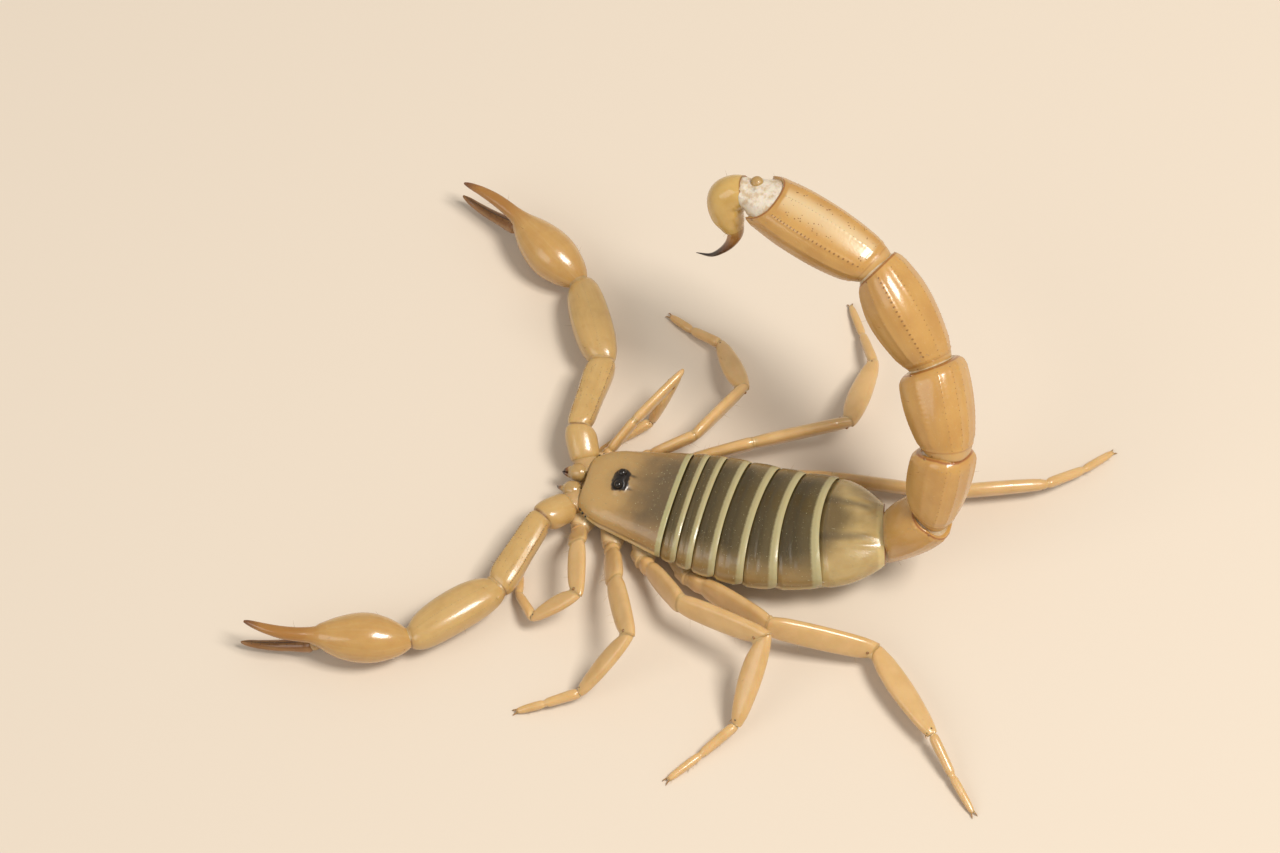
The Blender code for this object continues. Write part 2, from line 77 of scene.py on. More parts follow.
floor_bm = bmesh.new()
bmesh.ops.create_grid(floor_bm, x_segments=1, y_segments=1, size=FLOOR_SIZE / 2)
floor_mesh = bpy.data.meshes.new("floor")
floor_bm.to_mesh(floor_mesh)
floor_bm.free()
floor = bpy.data.objects.new("floor", floor_mesh)
bpy.context.scene.collection.objects.link(floor)
floor_paint = bpy.data.materials.new("floor_card")
floor_paint.use_nodes = True
floor_shader = floor_paint.node_tree.nodes["Principled BSDF"]
floor_shader.inputs["Base Color"].default_value = FLOOR_COLOR
floor_shader.inputs["Roughness"].default_value = 0.9
floor_shader.inputs["Specular IOR Level"].default_value = 0.2
floor_mesh.materials.append(floor_paint)


def soft_lamp(name, offset, size, power, color):
    """A square lamp at an offset from the animal's middle, turned to face it."""
    lamp = bpy.data.lights.new(name, "AREA")
    lamp.shape = "SQUARE"
    lamp.size = size
    lamp.energy = power
    lamp.color = color
    holder = bpy.data.objects.new(name, lamp)
    bpy.context.scene.collection.objects.link(holder)
    holder.location = Vector(offset)
    holder.rotation_euler = (-Vector(offset)).to_track_quat("-Z", "Y").to_euler()


soft_lamp("lamp_overhead", (0.01, 0.17, 0.36), 0.12, 1.35, (1.0, 0.96, 0.91))
soft_lamp("lamp_front", (0.26, -0.20, 0.26), 0.25, 0.35, (1.0, 0.98, 0.95))
world = bpy.data.worlds.new("room")
world.use_nodes = True
world.node_tree.nodes["Background"].inputs["Color"].default_value = (1.0, 0.96, 0.92, 1.0)
world.node_tree.nodes["Background"].inputs["Strength"].default_value = 0.42
bpy.context.scene.world = world
bpy.context.scene.view_settings.view_transform = "Standard"

turned, raised = math.radians(CAMERA_AZIMUTH), math.radians(CAMERA_ELEVATION)
to_camera = Vector((math.sin(turned) * math.cos(raised), -math.cos(turned) * math.cos(raised),
                    math.sin(raised)))
camera_data = bpy.data.cameras.new("camera")
camera_data.lens = CAMERA_LENS
camera_data.clip_start = 0.01
camera = bpy.data.objects.new("camera", camera_data)
bpy.context.scene.collection.objects.link(camera)
camera.location = set_down(Vector(CAMERA_TARGET) + to_camera * CAMERA_DISTANCE)
camera.rotation_euler = (-to_camera).to_track_quat("-Z", "Y").to_euler()
bpy.context.scene.camera = camera


# ---- Head shield --------------------------------------------------------------
# One thin plate of glossy shell over the head.  Its front is translucent
# straw; behind the eyes the dark gut shows through it.  A bead of thicker,
# yellower shell runs round its side margins and its rear edge.
class Field:
    """A number that varies over a surface; sums and products on it add Math nodes."""

    def __init__(self, paint, socket):
        self.paint, self.socket = paint, socket

    def apply(self, operation, *values):
        return self.paint.node("ShaderNodeMath", {"operation": operation},
                               dict(enumerate(values)))

    def __add__(self, other):
        return self.apply("ADD", self, other)

    def __sub__(self, other):
        return self.apply("SUBTRACT", self, other)

    def __rsub__(self, other):
        return self.apply("SUBTRACT", other, self)

    def __mul__(self, other):
        return self.apply("MULTIPLY", self, other)

    def __abs__(self):
        return self.apply("ABSOLUTE", self)

    __radd__, __rmul__ = __add__, __mul__

    def step(self, low, high):
        """0 at low and 1 at high, with a soft change between; low may be the larger."""
        return self.paint.node("ShaderNodeMapRange", {"interpolation_type": "SMOOTHSTEP"},
                               {"Value": self, "From Min": low, "From Max": high})

    def near(self, middle, width):
        """1 at the middle value, fading to 0 at the width either side of it."""
        return abs(self - middle).step(width, 0.0)


class Paint:
    """A material for one finish, with the nodes that vary it over the surface."""

    COAT_ROUGHNESS = 0.12
    SCATTER_REACH = 0.15            # how far light spreads in the shell, in millimetres
    SCATTER_TINT = (1.0, 0.55, 0.25)

    def __init__(self, name, roughness=0.36, coat=0.35, depth=0.35):
        self.material = bpy.data.materials.new(name)
        self.material.use_nodes = True
        self.tree = self.material.node_tree
        self.shader = self.tree.nodes["Principled BSDF"]
        self.set("Roughness", roughness)
        self.set("Coat Weight", coat)
        self.set("Coat Roughness", self.COAT_ROUGHNESS)
        self.set("Subsurface Weight", depth)
        self.set("Subsurface Radius", self.SCATTER_TINT)
        self.set("Subsurface Scale", self.SCATTER_REACH * MM)
        texture = self.tree.nodes.new("ShaderNodeTexCoord")
        self.place = texture.outputs["Object"]

    def node(self, kind, settings, values, output=0):
        node = self.tree.nodes.new(kind)
        for name, setting in settings.items():
            setattr(node, name, setting)
        for name, value in values.items():
            if isinstance(value, Field):
                self.tree.links.new(value.socket, node.inputs[name])
            elif isinstance(value, bpy.types.NodeSocket):
                self.tree.links.new(value, node.inputs[name])
            else:
                node.inputs[name].default_value = value
        return Field(self, node.outputs[output])

    def set(self, name, value):
        if isinstance(value, Field):
            self.tree.links.new(value.socket, self.shader.inputs[name])
        else:
            self.shader.inputs[name].default_value = value

    def mottle(self, size, detail=3.0):
        """Soft blotches of a size in millimetres, from 0 to 1."""
        return self.node("ShaderNodeTexNoise", {},
                         {"Vector": self.place, "Scale": 1 / (size * MM), "Detail": detail})

    def streaks(self, around, along):
        """Faint lengthwise streaks, from 0 to 1, from the coordinates of a limb."""
        spot = self.node("ShaderNodeCombineXYZ", {}, {0: around * 34, 1: along * 0.35})
        return self.node("ShaderNodeTexNoise", {},
                         {"Vector": spot, "Scale": 1.0, "Detail": 2.0}).step(0.45, 0.70)

    def layout(self):
        """The two coordinates of the piece's own surface map."""
        sheet = self.tree.nodes.new("ShaderNodeUVMap")
        sheet.uv_map = "shell"
        parts = self.tree.nodes.new("ShaderNodeSeparateXYZ")
        self.tree.links.new(sheet.outputs[0], parts.inputs[0])
        return Field(self, parts.outputs[0]), Field(self, parts.outputs[1])

    def tone(self):
        """Painted on the mesh: 1 on dark grains and teeth, -1 on pale ones, 0 on plain shell; a negative
        tone below the last tail length is partly its paler shell and partly a painted glare.
        """
        return self.node("ShaderNodeAttribute", {"attribute_name": "tone"}, {}, "Fac")

    def blend(self, below, above, cover):
        """One colour laid over another where the cover is 1."""
        def rgba(color):
            return (*color, 1.0) if isinstance(color, tuple) else color
        return self.node("ShaderNodeMix", {"data_type": "RGBA"},
                         {0: cover, 6: rgba(below), 7: rgba(above)}, 2)

    def grain(self, size, height):
        """A fine unevenness of the surface, of a size and a height in millimetres."""
        bump = self.node("ShaderNodeBump", {}, {"Height": self.mottle(size, 2.0), "Strength": 1.0,
                                                "Distance": height * MM})
        self.set("Normal", bump)


class Piece:
    """A piece while it is modelled: one bmesh with a surface map and a painted tone."""

    def __init__(self, seed=1):
        self.bm = bmesh.new()
        self.uv = self.bm.loops.layers.uv.new("shell")
        self.tone = self.bm.verts.layers.float.new("tone")
        self.chance = random.Random(seed)

    def grid(self, columns, rows, shape, layout, tone=None):
        """A grid put in shape: shape, layout and tone read its column and row, from 0 to 1."""
        made = bmesh.ops.create_grid(self.bm, x_segments=columns, y_segments=rows, size=1)["verts"]
        spots = {vert: ((vert.co.x + 1) / 2, (vert.co.y + 1) / 2) for vert in made}
        for face in {face for vert in made for face in vert.link_faces}:
            for loop in face.loops:
                loop[self.uv].uv = layout(*spots[loop.vert])
        for vert, (column, row) in spots.items():
            vert.co = shape(column, row)
            if tone:
                vert[self.tone] = tone(column, row)
        return made

    def plate(self, columns, rows, top, layout, tone=None):
        """A thin plate with a blunt rear edge: its outer face, then its inner face below."""
        turns = rows + rows // 5 + 1

        def place(row):
            step = round(row * turns)
            return (step / rows, 0) if step <= rows else ((turns - step) / (rows // 5), 1)

        def shape(column, row):
            part, inner = place(row)
            point = top(column, part)
            if inner:
                inward = Vector((0.25 * (point.x - TRUNK_MIDDLE_X), 0, point.z - TRUNK_MIDDLE_Z))
                thin = min(1.0, 14 * column, 14 * (1 - column), 14 * part)
                point -= inward.normalized() * SHELL * thin
            return point

        self.grid(columns, turns, shape, lambda column, row: layout(column, place(row)[0]),
                  tone and (lambda column, row: tone(column, place(row)[0])))

    def bead(self, point, radius, tone):
        """A small round grain or tooth standing in the surface."""
        made = bmesh.ops.create_icosphere(self.bm, subdivisions=1, radius=radius,
                                          matrix=Matrix.Translation(point))
        for vert in made["verts"]:
            vert[self.tone] = tone

    def spike(self, root, way, length, radius, tone=0.0, sides=4, tip=0.15):
        """A thin cone: a bristle, a spur or a tooth."""
        turn = Vector(way).to_track_quat("Z", "Y").to_matrix().to_4x4()
        middle = Vector(root) + Vector(way).normalized() * length / 2
        made = bmesh.ops.create_cone(self.bm, segments=sides, radius1=radius, radius2=radius * tip,
                                     depth=length, cap_ends=True,
                                     matrix=Matrix.Translation(middle) @ turn)
        for vert in made["verts"]:
            vert[self.tone] = tone

    def ball(self, point, radii, tone=0.0, way=(0, 0, 1), fine=16):
        """A rounded lump whose third axis lies along a direction."""
        turn = Vector(way).to_track_quat("Z", "Y").to_matrix().to_4x4()
        made = bmesh.ops.create_uvsphere(
            self.bm, u_segments=fine, v_segments=fine * 2 // 3, radius=1.0,
            matrix=Matrix.Translation(point) @ turn @ Matrix.Diagonal((*radii, 1.0)))
        for vert in made["verts"]:
            vert[self.tone] = tone

    def finish(self, name, paint, slot, *nodes):
        """Weld, turn the faces outwards, set the piece down and tell the frame about it."""
        bmesh.ops.remove_doubles(self.bm, verts=self.bm.verts[:], dist=0.0004)
        bmesh.ops.recalc_face_normals(self.bm, faces=self.bm.faces[:])
        for vert in self.bm.verts:
            vert.co.z = max(vert.co.z, 0.0)      # feet and bristles rest flat on the floor
            vert.co = set_down(vert.co)
        mesh = bpy.data.meshes.new(name)
        self.bm.to_mesh(mesh)
        self.bm.free()
        mesh.shade_smooth()
        mesh.materials.append(paint.material)
        piece = bpy.data.objects.new(name, mesh)
        bpy.context.scene.collection.objects.link(piece)
        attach(piece, "root")
        if nodes:
            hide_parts(*nodes)
        return piece


def bump(value, middle, width):
    """A smooth hump: 1 at the middle value, nearly 0 two widths away."""
    return math.exp(-((value - middle) / width) ** 2)


def smooth_step(value):
    value = max(0.0, min(1.0, value))
    return value * value * (3 - 2 * value)


def smoothly(rows, place):
    """The values of a table of rows (place, value, ...) at any place, on a smooth curve."""
    index = 0
    while index < len(rows) - 2 and place > rows[index + 1][0]:
        index += 1
    low, high = rows[index], rows[index + 1]
    before, after = rows[max(index - 1, 0)], rows[min(index + 2, len(rows) - 1)]
    width = high[0] - low[0]
    t = max(0.0, min(1.0, (place - low[0]) / width))
    values = []
    for a, b, c, d in zip(before[1:], low[1:], high[1:], after[1:]):
        leave = (c - a) / (high[0] - before[0]) * width
        arrive = (d - b) / (after[0] - low[0]) * width
        values.append((2 * t ** 3 - 3 * t ** 2 + 1) * b + (t ** 3 - 2 * t ** 2 + t) * leave
                      + (3 * t ** 2 - 2 * t ** 3) * c + (t ** 3 - t ** 2) * arrive)
    return values


# place along the body, sideways shift of the midline, turn in degrees, half width, height
# of the side margins, height of the back, and how far the middle of the edge bows forward
TRUNK_EDGES = (
    (-1.45, 0.00, 0, 1.68, 2.00, 2.80, 0.00),
    (3.95, 0.00, 0, 3.36, 2.10, 3.80, 0.05),
    (4.85, 0.00, 0, 3.50, 2.15, 3.90, 0.10),
    (5.80, 0.00, 0, 3.66, 2.15, 3.95, 0.15),
    (7.15, 0.00, 0, 3.75, 2.20, 4.05, 0.25),
    (8.80, -0.05, 0, 3.80, 2.25, 4.15, 0.35),
    (10.50, -0.25, 3, 3.68, 2.30, 4.20, 0.50),
    (12.60, -0.70, 8, 3.42, 2.50, 4.30, 0.65),
    (15.38, -1.17, 17, 1.78, 3.10, 4.45, 0.10),
)
TRUNK_MIDDLE_X, TRUNK_MIDDLE_Z = -0.3, 2.0
SHELL = 0.10                    # thickness of the plates
FULLNESS = 0.78                 # how boxy the plates' arch is; 1 is an ellipse
SKIRT = 0.07                    # part of a plate's width that turns down at each margin
SKIRT_DROP = 0.25


def between(index, part):
    return [a + (b - a) * part for a, b in zip(TRUNK_EDGES[index], TRUNK_EDGES[index + 1])]


def arch(column, half_width, margin, back):
    """Sideways place and height on a plate's arch; column 0 is the left margin, 1 the right."""
    column = (column * (1 + 2 * SKIRT) - SKIRT)
    down = max(0.0, -column, column - 1) / SKIRT
    angle = math.pi * max(0.0, min(1.0, column))
    c, s = math.cos(angle), math.sin(angle)
    x = half_width * math.copysign(abs(c) ** FULLNESS, c) * (1 - 0.03 * down)
    return x, margin + (back - margin) * abs(s) ** FULLNESS - SKIRT_DROP * down, abs(c)


def on_trunk(section, x, z):
    """A point of a trunk cross-section, from its sideways place and its height."""
    place, shift, turn, half_width = section[:4]
    place -= section[6] * max(0.0, 1 - (x / half_width) ** 2)
    angle = math.radians(turn)
    return Vector((shift + x * math.cos(angle), place + x * math.sin(angle), z))


SHIELD_STATIONS = ((0.0, 0.86, -0.20), (0.025, 0.97, -0.04), (0.12, 1.10, 0.10), (0.26, 1.13, 0.14),
                   (0.38, 1.10, 0.16), (0.50, 1.07, 0.12), (0.70, 1.03, 0.05), (0.88, 1.01, 0.02),
                   (1.0, 0.985, 0.0))


def shield_relief(x, y):
    """Heights over the plain arch: eye mound, furrows and low swellings."""
    mound = 0.36 * bump(x, 0, 0.66) * bump(y, 0.62, 0.58)
    brow = 0.08 * bump(math.hypot(abs(x) - 0.39, y - 0.60), 0.32, 0.10)
    furrow = -0.09 * bump(x, 0, 0.12) * bump(y, 2.3, 1.0) - 0.05 * bump(x, 0, 0.10) * bump(y, -0.6, 0.5)
    wings = -0.08 * bump(abs(x) - 0.45 * (y - 1.6), 0.35, 0.22) * bump(y, 2.9, 0.7)
    cheeks = -0.06 * bump(abs(x), 1.25, 0.30) * bump(y, 0.9, 0.8)
    notch = -0.10 * bump(x, 0, 0.45) * bump(y, -1.5, 0.25)
    return mound + brow + furrow + wings + cheeks + notch


def on_shield(column, row):
    widen, rise = smoothly(SHIELD_STATIONS, row)
    section = between(0, row)
    section[0] -= 0.06 * row
    x, z, edge = arch(column, section[3] * widen, section[4], section[5] + rise)
    point = on_trunk(section, x, z)
    over = min(1.0, max(0.0, (1 - edge) * 6))
    point.z += shield_relief(point.x, point.y) * over
    point.z += 0.05 * bump(edge, 0.985, 0.02) + 0.05 * bump(row, 0.985, 0.03)
    point.z += 0.012 * noise.noise(point * 2.2)
    return point


SHIELD_GRAINS = 260
shield = Piece(seed=3)
for _ in range(SHIELD_GRAINS):
    across = shield.chance.uniform(-1, 1)
    row = shield.chance.uniform(0.02, 0.97) ** 0.8
    column = 0.5 - 0.5 * across * (0.92 - 0.10 * abs(across))
    spot = on_shield(column, row)
    if (abs(abs(spot.x) - 0.39) < 0.30 and abs(spot.y - 0.6) < 0.34) or abs(spot.x) < 0.10:
        continue
    crowd = 0.35 + 0.65 * bump(abs(spot.x), 0.9, 0.8) + 0.4 * bump(row, 0.85, 0.2)
    if shield.chance.random() < crowd:
        shield.bead(spot - Vector((0, 0, 0.020)), shield.chance.uniform(0.022, 0.036), -0.20)
EYE_ROW = ((0.80, -1.17, 0.085), (0.825, -0.97, 0.085), (0.845, -0.77, 0.07))


def eye_patch(column, row):
    """1 on the dark ragged patch round the two middle eyes, 0 elsewhere."""
    spot = on_shield(column, row)
    away = math.hypot(max(0.0, abs(spot.x) - 0.28), spot.y - 0.62)
    streak = 0.5 * bump(abs(spot.x), 0.42, 0.09) * bump(spot.y, 1.15, 0.30)
    return min(1.0, smooth_step((0.52 + 0.10 * noise.noise(spot * 5) - away) / 0.16) + streak)


shield.plate(150, 130, on_shield, lambda column, row: (2 * column - 1, (1 - row) * 5.4), eye_patch)

shield_paint = Paint("head_shield_shell", roughness=0.32, coat=0.45)
across, behind = shield_paint.layout()        # -1..1 across, mm in front of the rear edge
cloud = shield_paint.mottle(0.9)
speck = shield_paint.mottle(0.16, 4.0)
rearward = (behind + (cloud - 0.5) * 1.4).step(4.0, 0.8)
gut = rearward * (abs(across) + (cloud - 0.5) * 0.25).step(0.74, 0.18)
color = shield_paint.blend((0.47, 0.292, 0.106), (0.35, 0.207, 0.076), rearward)
color = shield_paint.blend(color, (0.120, 0.083, 0.040), gut * 0.93)
color = shield_paint.blend(color, (0.30, 0.235, 0.105), speck.step(0.58, 0.75) * 0.5)
rim = abs(across).step(0.80, 0.85)
color = shield_paint.blend(color, (0.24, 0.15, 0.06), abs(across).near(0.785, 0.035) * 0.6)
color = shield_paint.blend(color, (0.68, 0.52, 0.24), rim)
band = (behind + (speck - 0.5) * 0.08).step(0.36, 0.26)
color = shield_paint.blend(color, (0.44, 0.40, 0.20), band)
mark = shield_paint.tone()
color = shield_paint.blend(color, (0.50, 0.42, 0.22), (0 - mark).step(0.1, 0.6) * 0.8)
color = shield_paint.blend(color, (0.080, 0.048, 0.022), mark.step(0.02, 0.4) * 0.8)
color = shield_paint.blend(color, (0.010, 0.006, 0.004), mark.step(0.3, 0.8))
shield_paint.set("Base Color", color)
shield_paint.set("Coat Weight", 0.40 - 0.35 * mark.step(0.25, 0.6))
shield_paint.grain(0.09, 0.012)
shield.finish("head_shield", shield_paint, "head_shield", "carapace")

# ---- Eyes ---------------------------------------------------------------------
# Two large eyes stand on the mound of the shield, and three small ones in a
# row at each front corner.  Each is a clear domed lens over black pigment.
eye_paint = Paint("eye_lens", roughness=0.10, coat=0.0, depth=0.0)
eye_paint.set("Base Color", eye_paint.blend((0.006, 0.005, 0.005), (0.022, 0.014, 0.008),
                                            eye_paint.mottle(0.12)))
for side, name in ((1, "left"), (-1, "right")):
    eye = Piece()
    eye.ball((side * EYE_CENTRE.x, EYE_CENTRE.y, EYE_CENTRE.z - 0.05), (0.25, 0.25, 0.24), fine=36)
    eye.finish("eye_median_" + name, eye_paint, "eye", "eye_median_" + name)
    row_piece = Piece()
    for outward, place, radius in EYE_ROW:
        row = (place + 1.45) / 5.4
        column = 0.5 - 0.5 * side * outward
        row_piece.ball(on_shield(column, row), (radius, radius, radius), fine=18)
    row_piece.finish("eyes_lateral_" + name, eye_paint, "eye")

# ---- Back plates --------------------------------------------------------------
# Six plates of thin glossy shell, each lying over the front of the next, with
# a pale thickened band along the rear edge.  The dark gut shows through their
# middle and the browner flesh through their sides.
PLATE_TUCK = 0.10               # how far a plate runs in under the one before it
PLATE_BANDS = (0.29, 0.31, 0.35, 0.38, 0.41, 0.43)


def on_plate(number, column, part):
    """A point of a back plate: part 0 is under the plate before, 1 the rear edge."""
    part = part * (1 + PLATE_TUCK) - PLATE_TUCK
    section = between(number, part)
    tuck = max(0.0, 1 - max(part, -0.1) / 0.11)
    widen = 0.975 + 0.03 * math.sin(math.pi * max(0.0, min(1.0, 0.10 + 0.80 * part))) - 0.03 * tuck
    side = abs(2 * column - 1)
    widen -= 0.035 * smooth_step((part - 0.80) / 0.20) * smooth_step((side - 0.75) / 0.25)
    x, z, edge = arch(column, section[3] * widen, section[4], section[5])
    section[0] -= 0.16 * smooth_step((side - 0.80) / 0.20) * max(0.0, part) ** 3
    point = on_trunk(section, x, z)
    top = min(1.0, 5 * (1 - edge))
    rise = 0.04 * smooth_step((part - 0.15) / 0.4) - 0.07 * tuck
    rise += 0.05 * bump(part, 1 - 0.5 * PLATE_BANDS[number - 1] / PLATE_LENGTHS[number - 1], 0.14)
    rise += 0.05 * bump(x, 0, 0.22) * bump(part, 0.62, 0.3)
    rise -= 0.03 * bump(part, 0.30 + 0.10 * edge, 0.07)
    point.z += rise * (0.35 + 0.65 * top)
    point.z += 0.014 * noise.noise(point * 1.8) * top
    return point


PLATE_LENGTHS = [b[0] - a[0] for a, b in zip(TRUNK_EDGES[1:], TRUNK_EDGES[2:])]
plate_paint = Paint("back_plate_shell", roughness=0.26, coat=0.3)
across, behind = plate_paint.layout()          # -1..1 across, mm in front of the rear edge
cloud = plate_paint.mottle(1.1)
speck = plate_paint.mottle(0.14, 4.0)
flank = (abs(across) + (cloud - 0.5) * 0.22).step(0.26, 0.72)
color = plate_paint.blend((0.058, 0.040, 0.013), (0.30, 0.195, 0.075), flank)
color = plate_paint.blend(color, (0.20, 0.145, 0.055), behind.step(1.5, 0.5) * 0.30)
color = plate_paint.blend(color, (0.24, 0.20, 0.10), speck.step(0.60, 0.74) * 0.35)
margin = abs(across).step(0.81, 0.87)
color = plate_paint.blend(color, (0.56, 0.42, 0.18), margin * 0.85)
edge = behind + (speck - 0.5) * 0.10
color = plate_paint.blend(color, (0.40, 0.345, 0.175), edge.step(0.52, 0.34))
color = plate_paint.blend(color, (0.50, 0.44, 0.24), edge.step(0.26, 0.12) * 0.45)
mark = plate_paint.tone()
color = plate_paint.blend(color, (0.42, 0.36, 0.20), (0 - mark).step(0.1, 0.6) * 0.8)
color = plate_paint.blend(color, (0.020, 0.014, 0.010), mark.step(0.3, 0.7))
plate_paint.set("Base Color", color)
plate_paint.grain(0.10, 0.010)
for number in range(1, 7):
    plate = Piece(seed=20 + number)
    length = PLATE_LENGTHS[number - 1]
    for _ in range(30 + 7 * number):
        column = 0.5 + 0.44 * plate.chance.uniform(-1, 1)
        part = plate.chance.uniform(0.22, 0.86)
        spot = on_plate(number, column, part)
        plate.bead(spot - Vector((0, 0, 0.018)), plate.chance.uniform(0.020, 0.030), -0.12)
    plate.plate(116, 30 + 4 * number, lambda column, row: on_plate(number, column, row),
                lambda column, row: (2 * column - 1,
                                     (1 - row) * length * 0.46 / PLATE_BANDS[number - 1]))
    plate.finish("back_plate_%d" % number, plate_paint, "back_plate", "tergite_%d" % number)

# ---- Last back plate ----------------------------------------------------------
# The seventh plate narrows to the tail like a shovel.  It is tan, with the end
# of the dark gut as a wedge in its front, four low keels and a pale rear rim.
LAST_BULGE = 0.32


def on_last_plate(column, part):
    part = part * (1 + 0.05) - 0.05
    section = between(7, part)
    tuck = max(0.0, 1 - max(part, -0.05) / 0.10)
    bulge = math.sin(math.pi * max(0.0, part)) * LAST_BULGE
    widen = 0.985 - 0.03 * tuck
    x, z, edge = arch(column, section[3] * widen + bulge, section[4], section[5] + 0.3 * bulge)
    section[0] += 0.16 * part
    point = on_trunk(section, x, z)
    top = min(1.0, 5 * (1 - edge))
    keels = 0.07 * bump(abs(x), 0.75 + 0.2 * part, 0.16) * bump(part, 0.60, 0.28)
    keels += 0.06 * bump(abs(x), 1.75 - 0.5 * part, 0.16) * bump(part, 0.62, 0.26)
    hollow = -0.05 * bump(x, 0, 0.4) * bump(part, 0.72, 0.2)
    rim = 0.06 * bump(part, 0.975, 0.025)
    point.z += (keels + hollow + rim - 0.17 * tuck) * (0.35 + 0.65 * top)
    point.z += 0.016 * noise.noise(point * 1.6) * top
    return point


last_paint = Paint("last_back_plate_shell", roughness=0.26, coat=0.55)
across, behind = last_paint.layout()
cloud = last_paint.mottle(1.2)
speck = last_paint.mottle(0.15, 4.0)
color = last_paint.blend((0.49, 0.355, 0.150), (0.40, 0.265, 0.100), cloud.step(0.35, 0.7) * 0.7)
wedge = (behind + (cloud - 0.5) * 1.0 - abs(across) * 4.2).step(0.35, 1.9)
color = last_paint.blend(color, (0.125, 0.085, 0.032), wedge * 0.92)
streak = abs(across).near(0.15, 0.07) * behind.step(0.35, 0.9) * 0.5
color = last_paint.blend(color, (0.065, 0.045, 0.025), streak)
color = last_paint.blend(color, (0.42, 0.33, 0.15), speck.step(0.60, 0.75) * 0.3)
color = last_paint.blend(color, (0.50, 0.40, 0.18), abs(across).step(0.86, 0.91) * 0.8)
color = last_paint.blend(color, (0.60, 0.46, 0.20), behind.step(0.40, 0.26) * 0.85)
color = last_paint.blend(color, (0.22, 0.08, 0.018), behind.step(0.08, 0.03))
mark = last_paint.tone()
color = last_paint.blend(color, (0.52, 0.43, 0.22), (0 - mark).step(0.1, 0.6) * 0.8)
last_paint.set("Base Color", color)
last_paint.grain(0.10, 0.010)
last_plate = Piece(seed=31)
for _ in range(190):
    column = 0.5 + 0.43 * last_plate.chance.uniform(-1, 1)
    part = last_plate.chance.uniform(0.12, 0.93)
    last_plate.bead(on_last_plate(column, part) - Vector((0, 0, 0.010)),
                    last_plate.chance.uniform(0.018, 0.034), -0.5)
last_plate.plate(120, 62, on_last_plate,
                 lambda column, row: (2 * column - 1, (1 - row) * 2.78))
last_plate.finish("last_back_plate", last_paint, "last_back_plate", "tergite_7")

# ---- Belly --------------------------------------------------------------------
# Soft pleated skin joins the back plates to five belly plates, so that the body
# can swell.  Each of the first four belly plates has two slits for breathing.
BELLY_SECTIONS = ((2, 1.00, 2.30, 0.85), (3, 0.70, 2.45, 0.80), (4, 0.10, 2.70, 0.75),
                  (5, 0.0, 3.15, 0.75), (6, 0.0, 3.48, 0.80), (7, 0.0, 3.25, 1.05),
                  (8, -0.06, 1.66, 2.00))


def belly_section(part):
    """A cross-section under the back plates; part 0 is behind the coxae, 1 at the tail."""
    rows = [(index / (len(BELLY_SECTIONS) - 1), TRUNK_EDGES[section[0]][0] + section[1],
             *TRUNK_EDGES[section[0]][1:3], section[2], TRUNK_EDGES[section[0]][4], section[3])
            for index, section in enumerate(BELLY_SECTIONS)]
    return smoothly(rows, part)


def on_belly(turn, part, lift=0.0):
    """A point of the soft body; turn 0.5 is the middle of the belly, 0 and 1 of the back."""
    part = max(0.0, min(1.0, part))
    place, shift, angle, half_width, margin, bottom = belly_section(part)
    around = math.radians(360 * turn + 90)
    c, s = math.cos(around), math.sin(around)
    x = half_width * math.copysign(abs(c) ** 0.8, c)
    side = bump(s, -0.15, 0.42)
    folds = 0.035 * math.sin(26 * s + 2 * noise.noise(Vector((x, place, 0)))) * side
    folds += 0.03 * math.sin(place * 9) * side
    x *= 1 + (folds + lift) / half_width
    high = margin + 0.35
    z = high + (high - bottom if s < 0 else 0.5) * math.copysign(abs(s) ** 0.8, s)
    return on_trunk((place, shift, angle, half_width, 0, 0, 0), x, z - (lift if s < 0 else 0))


flesh_paint = Paint("soft_skin", roughness=0.42, coat=0.15, depth=0.5)
cloud = flesh_paint.mottle(0.5)
flesh = flesh_paint.blend((0.50, 0.40, 0.235), (0.66, 0.56, 0.38), cloud.step(0.35, 0.65))
flesh_paint.set("Base Color", flesh)
flesh_paint.grain(0.12, 0.02)
belly = Piece()
belly.grid(96, 120, lambda column, row: on_belly(column, (row - 0.02) / 0.96)
           if 0.02 <= row <= 0.98 else (on_belly(0, round(row)) + on_belly(0.5, round(row))) / 2,
           lambda column, row: (column, row))
belly.finish("soft_body", flesh_paint, "underside", "belly")

belly_paint = Paint("belly_plate_shell", roughness=0.28, coat=0.5)
across, behind = belly_paint.layout()
color = belly_paint.blend((0.50, 0.38, 0.17), (0.42, 0.31, 0.13), belly_paint.mottle(0.9))
color = belly_paint.blend(color, (0.62, 0.54, 0.32), behind.step(0.34, 0.2))
color = belly_paint.blend(color, (0.06, 0.03, 0.015), belly_paint.tone().step(0.3, 0.7))
belly_paint.set("Base Color", color)
belly_paint.grain(0.10, 0.008)
for number in range(5):
    start = 0.08 + 0.17 * number
    end = start + (0.19 if number < 4 else 0.22)
    plate = Piece(seed=40 + number)

    def on_belly_plate(column, row):
        part = start + (end - start) * row
        turn = 0.5 + 0.17 * (column * 2 - 1) * (1 - 0.10 * row ** 6)
        lift = 0.05 + 0.06 * row - 0.10 * bump(abs(column - 0.5), 0.5, 0.03)
        return on_belly(turn, part, lift)

    if number < 4:
        for side in (1, -1):
            spot = on_belly_plate(0.5 + side * 0.27, 0.55) + Vector((0, 0, 0.02))
            plate.ball(spot, (0.30, 0.07, 0.05), 1.0, fine=12)

    def inward(column, row):
        folded = 1 - abs(2 * row - 1)
        point = on_belly_plate(column, folded)
        if row > 0.5:
            point.z += 0.10 * min(1.0, 8 * column, 8 * (1 - column), 8 * folded, 8 * (1 - folded))
        return point

    plate.grid(48, 40, inward, lambda column, row: (column, abs(1 - 2 * row) * 2.0))
    plate.finish("belly_plate_%d" % (number + 3), belly_paint, "underside")

